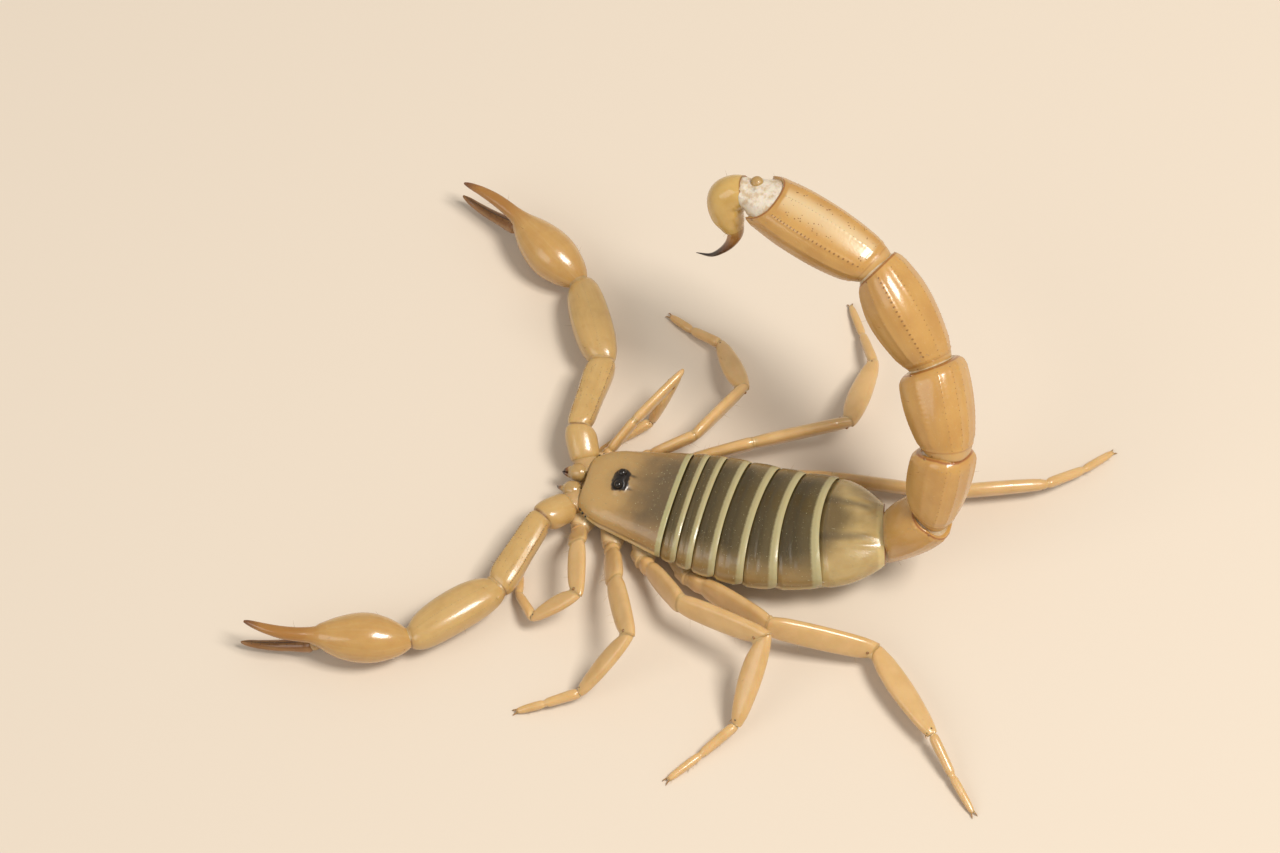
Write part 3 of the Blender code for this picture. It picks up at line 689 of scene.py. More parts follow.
# ---- Coxae and sternum --------------------------------------------------------
# On the underside the inner ends of the legs, fixed to the body, meet at a
# small three-cornered sternum.  Behind it lie the two doors of the sex opening.
class Length:
    """The skin round one length of a limb, between two joints.

    A station is (place 0..1, half width, half height, sideways shift, rise).
    Near a bent joint the skin leans into the plane that halves the bend; on
    the outer side of the bend it stands out by at most the reach.  Reach and
    gap are pairs, for the near end and the far end.
    """

    def __init__(self, start, end, stations, before=None, after=None, dorsal=(0, 0, 1),
                 squareness=0.85, reach=(99.0, 99.0), gap=(0.0, 0.02), relief=None):
        self.start, self.span, self.stations = Vector(start), Vector(end) - Vector(start), stations
        self.along = self.span.normalized()
        up = Vector(dorsal)
        self.up = (up - self.along * up.dot(self.along)).normalized()
        self.side = self.along.cross(self.up)
        self.planes = [(self.along + way.normalized()).normalized() if way else self.along
                       for way in (before, after)]
        self.squareness, self.reach, self.gap, self.relief = squareness, reach, gap, relief

    def point(self, turn, place, lift=0.0, shrink=1.0):
        """A point at a turn in degrees, 90 on its back and -90 below, and a place 0..1."""
        half_width, half_height, shift, rise = smoothly(self.stations, place)
        if self.relief:
            lift += self.relief(turn, place)
        angle = math.radians(turn)
        c, s = math.cos(angle), math.sin(angle)
        x = math.copysign(abs(c) ** self.squareness, c) * half_width * shrink + c * lift
        z = math.copysign(abs(s) ** self.squareness, s) * half_height * shrink + s * lift
        offset = self.side * (x + shift) + self.up * (z + rise)
        first, last = (-offset.dot(plane) / self.along.dot(plane) for plane in self.planes)
        lean = (max(-self.reach[0], first) + self.gap[0]) * (1 - place) ** 3
        lean += (min(self.reach[1], last) - self.gap[1]) * place ** 3
        return self.start + self.span * place + offset + self.along * lean


class Chain:
    """Several lengths in one skin, joined smoothly over the joints between them."""

    def __init__(self, *lengths):
        self.lengths, self.ends, reached = lengths, [], 0.0
        for length in lengths:
            size = length.span.length
            self.ends.append([reached + size * length.stations[0][0],
                              reached + size * length.stations[-1][0], reached, size])
            reached += size
        self.total = self.ends[-1][1]

    def point(self, turn, place, lift=0.0, shrink=1.0):
        at = self.ends[0][0] + (self.total - self.ends[0][0]) * place
        for index, (low, high, base, size) in enumerate(self.ends):
            if at <= high or index == len(self.ends) - 1:
                break
        length = self.lengths[index]
        if at >= low:
            return length.point(turn, (at - base) / size, lift, shrink)
        past = self.ends[index - 1]
        a = self.lengths[index - 1].point(turn, (past[1] - past[2]) / past[3], lift, shrink)
        b = length.point(turn, (low - base) / size, lift, shrink)
        return a.lerp(b, smooth_step((at - past[1]) / (low - past[1])))


def skin(piece, length, columns, rows, long=1.0, tone=None, ends=(0.12, 0.12)):
    """Close a length's surface and add it to a piece; its ends stand out or are hollow.

    The surface map runs round the length, and along it in millimetres from its
    nearer end; in the far half the millimetres are taken off 100.
    """
    caps = 4

    def along(row):
        step = round(row * rows) - caps
        inner = rows - 2 * caps
        return max(0.0, min(1.0, step / inner)), max(0.0, -step, step - inner) / caps

    def shape(column, row):
        place, past = along(row)
        if not past:
            return length.point(360 * column - 90, place)
        closing = math.sqrt(max(0.0, 1 - past ** 2))
        rim = length.point(360 * column - 90, place)
        middle = sum((length.point(90 * quarter, place) for quarter in range(4)), Vector()) / 4
        inward = 0.04 if place < 0.5 else 0.96
        deep = sum((length.point(90 * quarter, inward) for quarter in range(4)), Vector()) / 4
        outward = (middle - deep).normalized() if (middle - deep).length else Vector()
        return middle + (rim - middle) * closing + outward * ends[place > 0.5] * past

    def layout(column, row):
        place = along(row)[0]
        return column, place * long if place < 0.5 else 100 - (1 - place) * long

    paint = tone and (lambda column, row: tone(360 * column - 90, along(row)[0]))
    piece.grid(columns, rows, shape, layout, paint)


def joint_skin(piece, low, high, shrink=0.90, columns=32):
    """Soft pleated skin inside a joint, from the end of one length to the start of the next."""
    a, b = (low, 0.95), (high, 0.05)

    def shape(column, row):
        turn = 360 * column
        ends = [length.point(turn, place, shrink=shrink) for length, place in (a, b)]
        if row in (0.0, 1.0):
            length, place = a if row == 0 else b
            return sum((length.point(90 * quarter, place) for quarter in range(4)), Vector()) / 4
        part = (row - 0.1) / 0.8
        point = ends[0].lerp(ends[1], part)
        centre = sum((length.point(90 * quarter, place) for length, place in (a, b)
                      for quarter in range(4)), Vector()) / 8
        pleat = 0.025 * math.sin(part * math.pi * 5) - 0.03 * math.sin(part * math.pi)
        return point + (point - centre).normalized() * pleat

    piece.grid(columns, 10, shape, lambda column, row: (column, row))


# place, sideways place and height of each coxa's inner end, then the leg's root
COXA_ENDS = (((0.50, -0.95, 0.95), (2.45, -1.05, 1.20)), ((0.42, 0.55, 0.90), (2.95, 1.00, 1.15)),
             ((0.62, 2.35, 0.90), (3.30, 3.00, 1.10)), ((0.75, 3.55, 0.85), (3.42, 5.70, 0.98)))
COXA_STATIONS = ((0.0, 0.55, 0.34, 0, 0), (0.15, 0.72, 0.46, 0, 0), (0.55, 0.76, 0.56, 0, 0.05),
                 (0.85, 0.64, 0.56, 0, 0), (1.0, 0.52, 0.48, 0, 0))
coxa_paint = Paint("coxa_shell", roughness=0.34, coat=0.4)
around, along = coxa_paint.layout()
color = coxa_paint.blend((0.60, 0.42, 0.20), (0.66, 0.50, 0.28), coxa_paint.mottle(0.7))
color = coxa_paint.blend(color, (0.42, 0.24, 0.08), along.step(99.93, 99.99) * 0.6)
color = coxa_paint.blend(color, (0.10, 0.05, 0.02), coxa_paint.tone().step(0.3, 0.7))
coxa_paint.set("Base Color", color)
coxa_paint.grain(0.09, 0.012)
coxae = Piece(seed=50)
for sign in (1, -1):
    for inner, root in COXA_ENDS:
        inner, root = (Vector((sign * spot[0], spot[1], spot[2])) for spot in (inner, root))
        skin(coxae, Length(inner, root, COXA_STATIONS, squareness=0.8), 32, 34,
             long=(root - inner).length)
    coxae.ball((sign * 0.30, 4.45, 0.62), (0.30, 0.34, 0.14), fine=20)
    jaw_lobe = Vector((sign * 0.42, -1.55, 0.95))
    coxae.ball(jaw_lobe, (0.36, 0.62, 0.32), fine=20)
coxae.spike((0, 3.75, 0.68), (0, -1, 0.02), 1.0, 0.42, sides=24, tip=0.35)
coxae.ball((0, 5.1, 0.62), (0.36, 0.42, 0.16), fine=20)
throat = Length((0, -1.3, 1.45), (0, 5.6, 1.25), ((0.0, 1.1, 0.35, 0, 0), (0.2, 1.8, 0.5, 0, 0),
                (0.6, 2.6, 0.55, 0, 0), (0.9, 2.6, 0.5, 0, 0), (1.0, 2.2, 0.4, 0, 0)))
skin(coxae, throat, 48, 40, long=6.9)
coxae.finish("coxae_and_sternum", coxa_paint, "underside", "coxae")

# ---- Combs --------------------------------------------------------------------
# Behind the legs hang two feelers shaped like combs, each a flat jointed bar
# with a row of soft rounded teeth along its rear edge.
COMB_START, COMB_END = Vector((0.35, 5.75, 0.42)), Vector((2.75, 8.05, 0.45))
COMB_STATIONS = ((0.0, 0.24, 0.14, 0, 0), (0.12, 0.30, 0.17, 0, 0), (0.6, 0.28, 0.16, 0, 0),
                 (0.9, 0.20, 0.13, 0, 0), (1.0, 0.12, 0.10, 0, 0))
COMB_TEETH = 24
comb_paint = Paint("comb_skin", roughness=0.4, coat=0.3, depth=0.5)
color = comb_paint.blend((0.56, 0.44, 0.24), (0.66, 0.56, 0.36), comb_paint.mottle(0.5))
comb_paint.set("Base Color", color)
comb_paint.grain(0.08, 0.01)
for sign, name in ((1, "left"), (-1, "right")):
    comb = Piece(seed=60)
    start, end = (Vector((sign * spot.x, spot.y, spot.z)) for spot in (COMB_START, COMB_END))
    way = (end - start).normalized()
    rearward = Vector((-sign * way.y, abs(way.x), 0)).normalized()
    for tooth in range(COMB_TEETH):
        part = 0.06 + 0.90 * tooth / (COMB_TEETH - 1)
        size = 0.75 + 0.25 * math.sin(math.pi * part)
        spot = start.lerp(end, part) + rearward * (0.30 + 0.10 * size)
        comb.ball(spot, (0.085, 0.10, 0.26 * size), 0.0, way=rearward, fine=10)
        comb.ball(start.lerp(end, part) + rearward * 0.20, (0.09, 0.09, 0.09), 0.0, fine=8)
    skin(comb, Length(start, end, COMB_STATIONS,
                      relief=lambda turn, place: -0.03 * bump(place, 0.36, 0.02)
                      - 0.03 * bump(place, 0.68, 0.02)), 24, 48, long=4.1)
    comb.finish("comb_" + name, comb_paint, "comb", "pectine_" + name)

# ---- Jaws ---------------------------------------------------------------------
# Two short jaw claws stand out under the front of the head shield.  Each is a
# glossy barrel with a fixed finger and a moving one, brown-tipped and toothed.
JAW_START, JAW_END = Vector((0.62, -1.66, 1.98)), Vector((0.50, -2.95, 1.75))
JAW_STATIONS = ((0.0, 0.40, 0.44, 0, 0), (0.20, 0.50, 0.53, 0, 0), (0.60, 0.49, 0.51, 0, 0),
                (0.86, 0.40, 0.42, 0, 0), (1.0, 0.27, 0.29, 0, 0))
JAW_BARREL = 0.66               # part of the jaw's length before its fingers
FIXED_STATIONS = ((0.0, 0.20, 0.22, 0, 0), (0.4, 0.16, 0.17, 0, 0.05), (0.8, 0.09, 0.10, 0, 0.01),
                  (1.0, 0.03, 0.03, 0, -0.08))
jaw_paint = Paint("jaw_shell", roughness=0.22, coat=0.6)
color = jaw_paint.blend((0.50, 0.33, 0.13), (0.40, 0.24, 0.08), jaw_paint.mottle(0.3))
mark = jaw_paint.tone()
color = jaw_paint.blend(color, (0.20, 0.075, 0.022), mark.step(0.05, 0.5))
color = jaw_paint.blend(color, (0.03, 0.012, 0.008), mark.step(0.6, 1.0))
jaw_paint.set("Base Color", color)
for sign, name in ((1, "left"), (-1, "right")):
    jaw = Piece(seed=70)
    start, end = (Vector((sign * spot.x, spot.y, spot.z)) for spot in (JAW_START, JAW_END))
    way = end - start
    for finger, outward, low in ((0, 0.16, 0.10), (1, -0.10, 0.16)):
        root = start + way * 0.50 + Vector((sign * outward, 0, 0.12 - 0.30 * finger))
        tip = end + Vector((sign * (outward * 0.2), -0.02, -0.02 - 0.10 * finger))
        blade = Length(root, tip, FIXED_STATIONS, dorsal=(0, 0, 1 - 2 * finger), squareness=1.0)
        for tooth in range(4):
            place = 0.25 + 0.18 * tooth
            jaw.spike(blade.point(-90, place, -0.02), -blade.up - blade.along * 0.3,
                      0.10 - 0.012 * tooth, 0.04, 1.0, sides=6)
        skin(jaw, blade, 20, 26, long=1.0, ends=(0.03, 0.03),
             tone=lambda turn, place: smooth_step((place - 0.2) / 0.7))
    skin(jaw, Length(start, start + way * JAW_BARREL, JAW_STATIONS, squareness=0.9), 36, 30,
         long=0.9)
    for hair in range(6):
        turn = 60 * hair
        spot = start + way * 0.62 + Vector((0.3 * math.cos(turn), 0, 0.3 * math.sin(turn)))
        jaw.spike(spot, way + Vector((0.4 * math.cos(turn), 0, 0.4 * math.sin(turn))),
                  0.35, 0.010, 0.1, sides=3)
    jaw.finish("jaw_" + name, jaw_paint, "jaw", "chelicera_" + name)

# ---- Arms and claws -----------------------------------------------------------
# Each arm is five shell tubes hinged by pale soft skin.  The hand is a smooth
# bulb with a fixed upper finger; the lower finger moves and both are toothed.
def direction(heading, pitch):
    """A way to go: heading 0 is forwards and 90 to the animal's left; pitch is upwards."""
    h, p = math.radians(heading), math.radians(pitch)
    return Vector((math.sin(h) * math.cos(p), -math.cos(h) * math.cos(p), math.sin(p)))


def chain_points(root, lengths, pose):
    points = [Vector(root)]
    for length, way in zip(lengths, pose):
        points.append(points[-1] + direction(*way) * length)
    return points


ARM_ROOT = (1.5, -1.9, 1.75)
ARM_LENGTHS = (2.0, 4.7, 5.7, 5.1, 4.1)
ARM_POSES = {"left": ((53, 16), (77, -6), (51, -1), (18, 2), (9, 12)),
             "right": ((-60, 20), (-89, -6), (-59, -5), (-30, 6), (-20, 6))}
FINGER_POSES = {"left": (13, -8), "right": (-20, -9)}
FINGER_LEAD, FINGER_DROP = 0.15, 0.75
ARM_1 = ((0.0, 0.60, 0.54, 0, 0), (0.10, 0.80, 0.72, 0, 0), (0.30, 0.86, 0.80, 0, 0),
         (0.70, 0.88, 0.80, 0, 0), (0.92, 0.76, 0.70, 0, 0), (1.0, 0.60, 0.56, 0, 0))
ARM_2 = ((0.0, 0.54, 0.50, 0, 0), (0.07, 0.70, 0.63, 0, 0), (0.22, 0.75, 0.68, 0, 0),
         (0.45, 0.77, 0.70, 0, 0), (0.80, 0.85, 0.75, 0, 0), (0.93, 0.78, 0.70, 0, 0),
         (1.0, 0.62, 0.56, 0, 0))
ARM_3 = ((0.0, 0.58, 0.52, 0, 0), (0.06, 0.80, 0.72, 0, 0), (0.16, 1.00, 0.86, 0, 0.02),
         (0.34, 1.13, 0.96, 0, 0.05), (0.62, 1.12, 0.98, 0, 0.05), (0.84, 0.98, 0.88, 0, 0),
         (0.95, 0.74, 0.68, 0, 0), (1.0, 0.48, 0.46, 0, 0))
HAND = ((0.0, 0.38, 0.38, 0, 0), (0.05, 0.60, 0.60, 0, 0), (0.12, 0.86, 0.85, 0, 0),
        (0.24, 1.15, 1.13, 0, 0), (0.42, 1.37, 1.35, 0, 0), (0.60, 1.34, 1.33, 0, 0),
        (0.78, 1.12, 1.14, 0, 0.02), (0.91, 0.84, 0.86, 0, 0.12), (0.98, 0.66, 0.66, 0, 0.22))
FINGER_BOWS = {"left": 0.34, "right": 0.14}     # how far each upper finger bows outwards
UPPER_FINGER = ((0.06, 0.50, 0.48, 0.19, 0.33), (0.14, 0.44, 0.41, 0.43, 0.36),
                (0.30, 0.40, 0.36, 0.81, 0.35), (0.50, 0.36, 0.31, 1.00, 0.30),
                (0.72, 0.28, 0.25, 0.77, 0.18), (0.88, 0.20, 0.19, 0.37, 0.04),
                (0.96, 0.13, 0.14, 0.12, -0.04), (1.0, 0.07, 0.09, 0, -0.09))
LOWER_FINGER = ((0.0, 0.34, 0.30, 0, 0.06), (0.06, 0.48, 0.43, 0, 0.02), (0.16, 0.45, 0.39, 0, -0.08),
                (0.34, 0.36, 0.33, 0, -0.17), (0.54, 0.31, 0.29, 0, -0.20), (0.76, 0.25, 0.25, 0, -0.12),
                (0.90, 0.19, 0.19, 0, 0.02), (0.97, 0.12, 0.13, 0, 0.10), (1.0, 0.07, 0.08, 0, 0.15))


def arm_keels(turn, place):
    """Four low keels of an arm's second length, along its corners."""
    fade = bump(place, 0.5, 0.42)
    return fade * sum(0.045 * bump((turn - keel + 180) % 360 - 180, 0, 7)
                      for keel in (42, 138, -42, -138))


def third_keels(turn, place):
    """Low rounded keels of an arm's third length."""
    fade = bump(place, 0.5, 0.40)
    return fade * sum(0.030 * bump((turn - keel + 180) % 360 - 180, 0, 6)
                      for keel in (30, 90, 150, -45, -135))


def hand_lines(turn, place):
    """Shallow furrows at the finger's base and a slight flattening of the palm."""
    low = sum(0.018 * bump((turn - keel + 180) % 360 - 180, 0, 8) for keel in (20, 75, 120, 160))
    return low * smooth_step((place - 0.25) / 0.5) * (1 - smooth_step((place - 0.80) / 0.2))


def arm_paint(name, base, deep, brown_rim):
    """Tan shell, browner in soft patches and at the rims, with pale and dark grains."""
    paint = Paint(name, roughness=0.30, coat=0.5, depth=0.40)
    around, along = paint.layout()
    cloud = paint.mottle(0.8)
    color = paint.blend(base, deep, cloud.step(0.35, 0.70) * 0.55)
    rim = along.step(brown_rim + 0.06, 0.0) + along.step(100 - brown_rim - 0.06, 100)
    color = paint.blend(color, (0.22, 0.10, 0.028), rim * 0.85)
    speckle = paint.mottle(0.12, 4.0).step(0.60, 0.75)
    color = paint.blend(color, (0.62, 0.48, 0.27), speckle * 0.25)
    color = paint.blend(color, (0.62, 0.46, 0.22), paint.streaks(around, along) * 0.15)
    mark = paint.tone()
    color = paint.blend(color, (0.72, 0.60, 0.38), (0 - mark).step(0.1, 0.7) * 0.8)
    color = paint.blend(color, (0.035, 0.014, 0.008), mark.step(0.1, 0.9))
    paint.set("Base Color", color)
    paint.grain(0.10, 0.010)
    return paint


tan_shell = arm_paint("arm_shell", (0.55, 0.35, 0.125), (0.47, 0.285, 0.092), 0.05)
hand_shell = Paint("hand_shell", roughness=0.24, coat=0.6, depth=0.42)
around, along = hand_shell.layout()
finger = hand_shell.mottle(0.7)
color = hand_shell.blend((0.53, 0.31, 0.095), (0.46, 0.25, 0.072), finger.step(0.35, 0.7) * 0.5)
toward_tip = along + (finger - 0.5) * 0.4
color = hand_shell.blend(color, (0.62, 0.45, 0.22), hand_shell.streaks(around, along) * 0.15)
color = hand_shell.blend(color, (0.36, 0.165, 0.032), toward_tip.step(95.0, 97.2))
color = hand_shell.blend(color, (0.18, 0.07, 0.022), toward_tip.step(99.0, 99.9))
color = hand_shell.blend(color, (0.24, 0.11, 0.03), along.step(0.16, 0.0) * 0.8)
mark = hand_shell.tone()
color = hand_shell.blend(color, (0.06, 0.022, 0.010), mark.step(0.1, 0.9))
hand_shell.set("Base Color", color)
hand_shell.grain(0.10, 0.008)
# The moving fingers' brown shell is made darker than the upper fingers': painted shade, for fingers that
# lie low in the hand's shadow.
finger_shell_painted_shade = arm_paint("finger_shell_painted_shade", (0.30, 0.128, 0.024), (0.21, 0.080, 0.015), 0.08)
joint_paint = Paint("joint_skin", roughness=0.34, coat=0.3, depth=0.5)
color = joint_paint.blend((0.54, 0.36, 0.16), (0.42, 0.25, 0.09), joint_paint.mottle(0.3))
joint_paint.set("Base Color", color)
joint_paint.grain(0.08, 0.02)

for sign, name in ((1, "left"), (-1, "right")):
    root = Vector((sign * ARM_ROOT[0], *ARM_ROOT[1:]))
    points = chain_points(root, ARM_LENGTHS, ARM_POSES[name])
    spans = [b - a for a, b in zip(points, points[1:])]
    first = Length(points[0], points[1], ARM_1, after=spans[1])
    second = Length(points[1], points[2], ARM_2, spans[0], spans[2], squareness=0.7,
                    relief=arm_keels)
    third = Length(points[2], points[3], ARM_3, spans[1], spans[3], squareness=0.78,
                   gap=(0.0, -0.06), relief=third_keels)
    palm = Length(points[3], points[4], HAND, spans[2], squareness=0.95, gap=(-0.10, 0.02),
                  relief=hand_lines)
    bowed = [(*station[:3], -sign * FINGER_BOWS[name] * station[3], station[4])
             for station in UPPER_FINGER]
    upper = Length(points[4], points[5], bowed, squareness=0.95)
    hinge = points[4] + direction(ARM_POSES[name][3][0], 0) * FINGER_LEAD
    hinge.z -= FINGER_DROP
    lower = Length(hinge, hinge + direction(*FINGER_POSES[name]) * ARM_LENGTHS[4], LOWER_FINGER,
                   squareness=0.95, gap=(0.0, 0.0))

    piece = Piece(seed=80)
    skin(piece, first, 40, 44, long=2.0)
    piece.finish("arm_%s_first" % name, tan_shell, "arm", "pedipalp_%s_trochanter" % name)
    piece = Piece(seed=81)
    for keel in (42, 138, -42, -138):
        for grain in range(30):
            place = 0.07 + 0.86 * (grain + piece.chance.uniform(-0.2, 0.2)) / 29
            piece.bead(second.point(keel + piece.chance.uniform(-2, 2), place, -0.006),
                       piece.chance.uniform(0.035, 0.055), -0.22)
    for _ in range(60):
        piece.bead(second.point(piece.chance.uniform(50, 130), piece.chance.uniform(0.1, 0.9),
                                -0.012), piece.chance.uniform(0.018, 0.030), -0.2)
    for hair in range(4):
        turn = piece.chance.uniform(-20, 200)
        place = piece.chance.uniform(0.1, 0.9)
        foot = second.point(turn, place, -0.02)
        piece.spike(foot, second.point(turn, place, 1.0) - foot + second.along * 0.4, 0.45, 0.010,
                    sides=3)
    skin(piece, second, 64, 72, long=4.7)
    piece.finish("arm_%s_second" % name, tan_shell, "arm", "pedipalp_%s_femur" % name)
    piece = Piece(seed=82)
    for keel in (90, 30, 150):
        for grain in range(34):
            place = 0.10 + 0.80 * (grain + piece.chance.uniform(-0.2, 0.2)) / 33
            piece.bead(third.point(keel, place, -0.014), piece.chance.uniform(0.020, 0.028), -0.3)
    for hair in range(4):
        turn = piece.chance.uniform(-20, 200)
        place = piece.chance.uniform(0.1, 0.9)
        foot = third.point(turn, place, -0.02)
        piece.spike(foot, third.point(turn, place, 1.0) - foot + third.along * 0.3, 0.45, 0.010,
                    sides=3)
    skin(piece, third, 72, 84, long=5.7)
    piece.finish("arm_%s_third" % name, tan_shell, "arm", "pedipalp_%s_patella" % name)
    piece = Piece(seed=83)
    for tooth in range(46):
        place = 0.10 + 0.84 * tooth / 45
        piece.bead(upper.point(-90, place, -0.010), 0.040 - 0.014 * place, 0.8)
    for hair in range(8):
        turn, place = piece.chance.uniform(-30, 210), piece.chance.uniform(0.05, 0.95)
        part = palm if hair % 3 else upper
        foot = part.point(turn, place, -0.02)
        piece.spike(foot, part.point(turn, place, 1.0) - foot + part.along * 0.5, 0.40, 0.010,
                    sides=3)
    skin(piece, Chain(palm, upper), 84, 150, long=9.2, ends=(0.08, 0.05))
    piece.finish("hand_" + name, hand_shell, "arm", "pedipalp_%s_hand" % name)
    piece = Piece(seed=84)
    for tooth in range(50):
        place = 0.08 + 0.87 * tooth / 49
        piece.bead(lower.point(90, place, -0.010), 0.044 - 0.014 * place, 0.7)
    for tooth in range(7):
        place = 0.14 + 0.12 * tooth
        for turn in (70, 110):
            piece.bead(lower.point(turn, place, -0.010), 0.034, 0.6)
    skin(piece, lower, 44, 90, long=4.1, ends=(0.05, 0.05))
    piece.finish("moving_finger_" + name, finger_shell_painted_shade, "claw_finger",
                 "pedipalp_%s_finger" % name)
    piece = Piece()
    socket = Length(points[0] + Vector((-sign * 0.9, 0.35, 0.05)), points[0],
                    ((0.0, 0.6, 0.55, 0, 0), (1.0, 0.72, 0.64, 0, 0)))
    for low, high in ((socket, first), (first, second), (second, third), (third, palm)):
        joint_skin(piece, low, high)
    skin(piece, socket, 32, 20, long=1.0)
    piece.ball(hinge + Vector((0, 0, 0.12)), (0.42, 0.42, 0.42), way=lower.along, fine=20)
    piece.finish("arm_%s_joint_skin" % name, joint_paint, "arm")

# ---- Legs ---------------------------------------------------------------------
# Eight walking legs of pale, thin, translucent shell.  A leg is a short first
# ring, a flat upper length, a middle length, and a slender foot of three parts
# that ends in spurs and two claws.
LEG_ROOTS = [root for _, root in COXA_ENDS]
LEG_LENGTHS = ((2.6, 3.1, 3.0, 2.1, 1.4), (3.3, 4.2, 4.4, 2.0, 1.6), (4.4, 5.4, 5.1, 2.5, 2.3),
               (6.0, 6.1, 5.9, 2.5, 2.3))
LEG_POSES = {
    ("left", 1): ((105, 43), (107, 0), (31, -35), (-48, -20)),
    ("left", 2): ((111, 26), (118, 16), (55, -41), (33, -8)),
    ("left", 3): ((137, 23), (166, 13), (86, -38), (56, -13)),
    ("left", 4): ((155, 16), (189, -12), (138, -1), (133, -15)),
    ("right", 1): ((-120, 32), (-118, 12), (60, -56), (45, -12)),
    ("right", 2): ((-150, 27), (-113, -3), (-55, -22), (-18, -12)),
    ("right", 3): ((-154, 16), (-151, 5), (-91, -15), (-59, -20)),
    ("right", 4): ((-166, 3), (-171, -1), (-157, 0), (-134, -11)),
}
TOE_HEADINGS = {("left", 1): -77, ("left", 2): 27, ("left", 3): 56, ("left", 4): 136,
                ("right", 1): 50, ("right", 2): -23, ("right", 3): -57, ("right", 4): -123}
LEG_GIRTHS = (0.86, 1.0, 1.12, 1.18)
TOE_HEIGHT = 0.17
LEG_LEAN = 0.42                 # how far the flat lengths lean to the midline, per mm up
TIBIA_BACKS = {("right", 4): (0.4, 0, 1)}
LEG_BACKS = {("left", 1): (-0.23, 0.76, 0.57), ("left", 2): (-0.49, 0.50, 0.70)}
LEG_1 = ((0.0, 0.32, 0.40, 0, 0), (0.05, 0.36, 0.46, 0, 0), (0.12, 0.37, 0.50, 0, 0),
         (0.19, 0.29, 0.45, 0, 0), (0.24, 0.31, 0.54, 0, 0), (0.45, 0.32, 0.66, 0, 0),
         (0.80, 0.32, 0.67, 0, 0), (0.93, 0.32, 0.62, 0, 0), (1.0, 0.28, 0.52, 0, 0))
LEG_2 = ((0.0, 0.27, 0.46, 0, 0), (0.06, 0.30, 0.56, 0, 0), (0.16, 0.32, 0.63, 0, 0),
         (0.50, 0.32, 0.66, 0, 0), (0.84, 0.31, 0.59, 0, 0), (0.95, 0.29, 0.49, 0, 0),
         (1.0, 0.26, 0.42, 0, 0))
TIBIA = ((0.0, 0.25, 0.32, 0, 0), (0.06, 0.30, 0.42, 0, 0), (0.22, 0.33, 0.56, 0, 0),
         (0.48, 0.34, 0.60, 0, 0), (0.80, 0.31, 0.47, 0, 0), (0.94, 0.27, 0.34, 0, 0),
         (1.0, 0.20, 0.25, 0, 0))
BASITARSUS = ((0.0, 0.18, 0.20, 0, 0), (0.10, 0.27, 0.30, 0, 0), (0.50, 0.27, 0.30, 0, 0),
              (0.90, 0.24, 0.26, 0, 0), (1.0, 0.18, 0.19, 0, 0))
TOE = ((0.0, 0.16, 0.17, 0, 0), (0.12, 0.22, 0.23, 0, 0), (0.55, 0.22, 0.23, 0, 0),
       (0.85, 0.19, 0.19, 0, 0), (1.0, 0.13, 0.13, 0, 0))


def leg_keel(turn, place):
    """A faint keel along the lower edge and a fold along the flank."""
    low = 0.03 * bump((turn + 270) % 360 - 180, 0, 9) * bump(place, 0.6, 0.35)
    return low - 0.018 * bump((turn + 180) % 180 - 15, 0, 14) * bump(place, 0.6, 0.3)


def scaled(stations, girth):
    return tuple((station[0], *(value * girth for value in station[1:])) for station in stations)


leg_shell = Paint("leg_shell", roughness=0.28, coat=0.5, depth=0.55)
around, along = leg_shell.layout()
cloud = leg_shell.mottle(0.9)
color = leg_shell.blend((0.66, 0.43, 0.185), (0.58, 0.36, 0.135), cloud.step(0.35, 0.70) * 0.6)
color = leg_shell.blend(color, (0.40, 0.25, 0.085), (along.step(0.14, 0.0)
                                                    + along.step(99.86, 100)) * 0.7)
mark = leg_shell.tone()
color = leg_shell.blend(color, (0.66, 0.58, 0.40), (0 - mark).step(0.1, 0.7) * 0.7)
color = leg_shell.blend(color, (0.30, 0.14, 0.035), mark.step(0.1, 0.6))
color = leg_shell.blend(color, (0.04, 0.018, 0.010), mark.step(0.7, 1.0))
leg_shell.set("Base Color", color)
leg_shell.grain(0.10, 0.008)

leg_skin = Paint("leg_joint_skin", roughness=0.30, coat=0.3, depth=0.0)
color = leg_skin.blend((0.62, 0.43, 0.20), (0.54, 0.35, 0.14), leg_skin.mottle(0.3))
leg_skin.set("Base Color", color)
leg_skin.grain(0.08, 0.015)

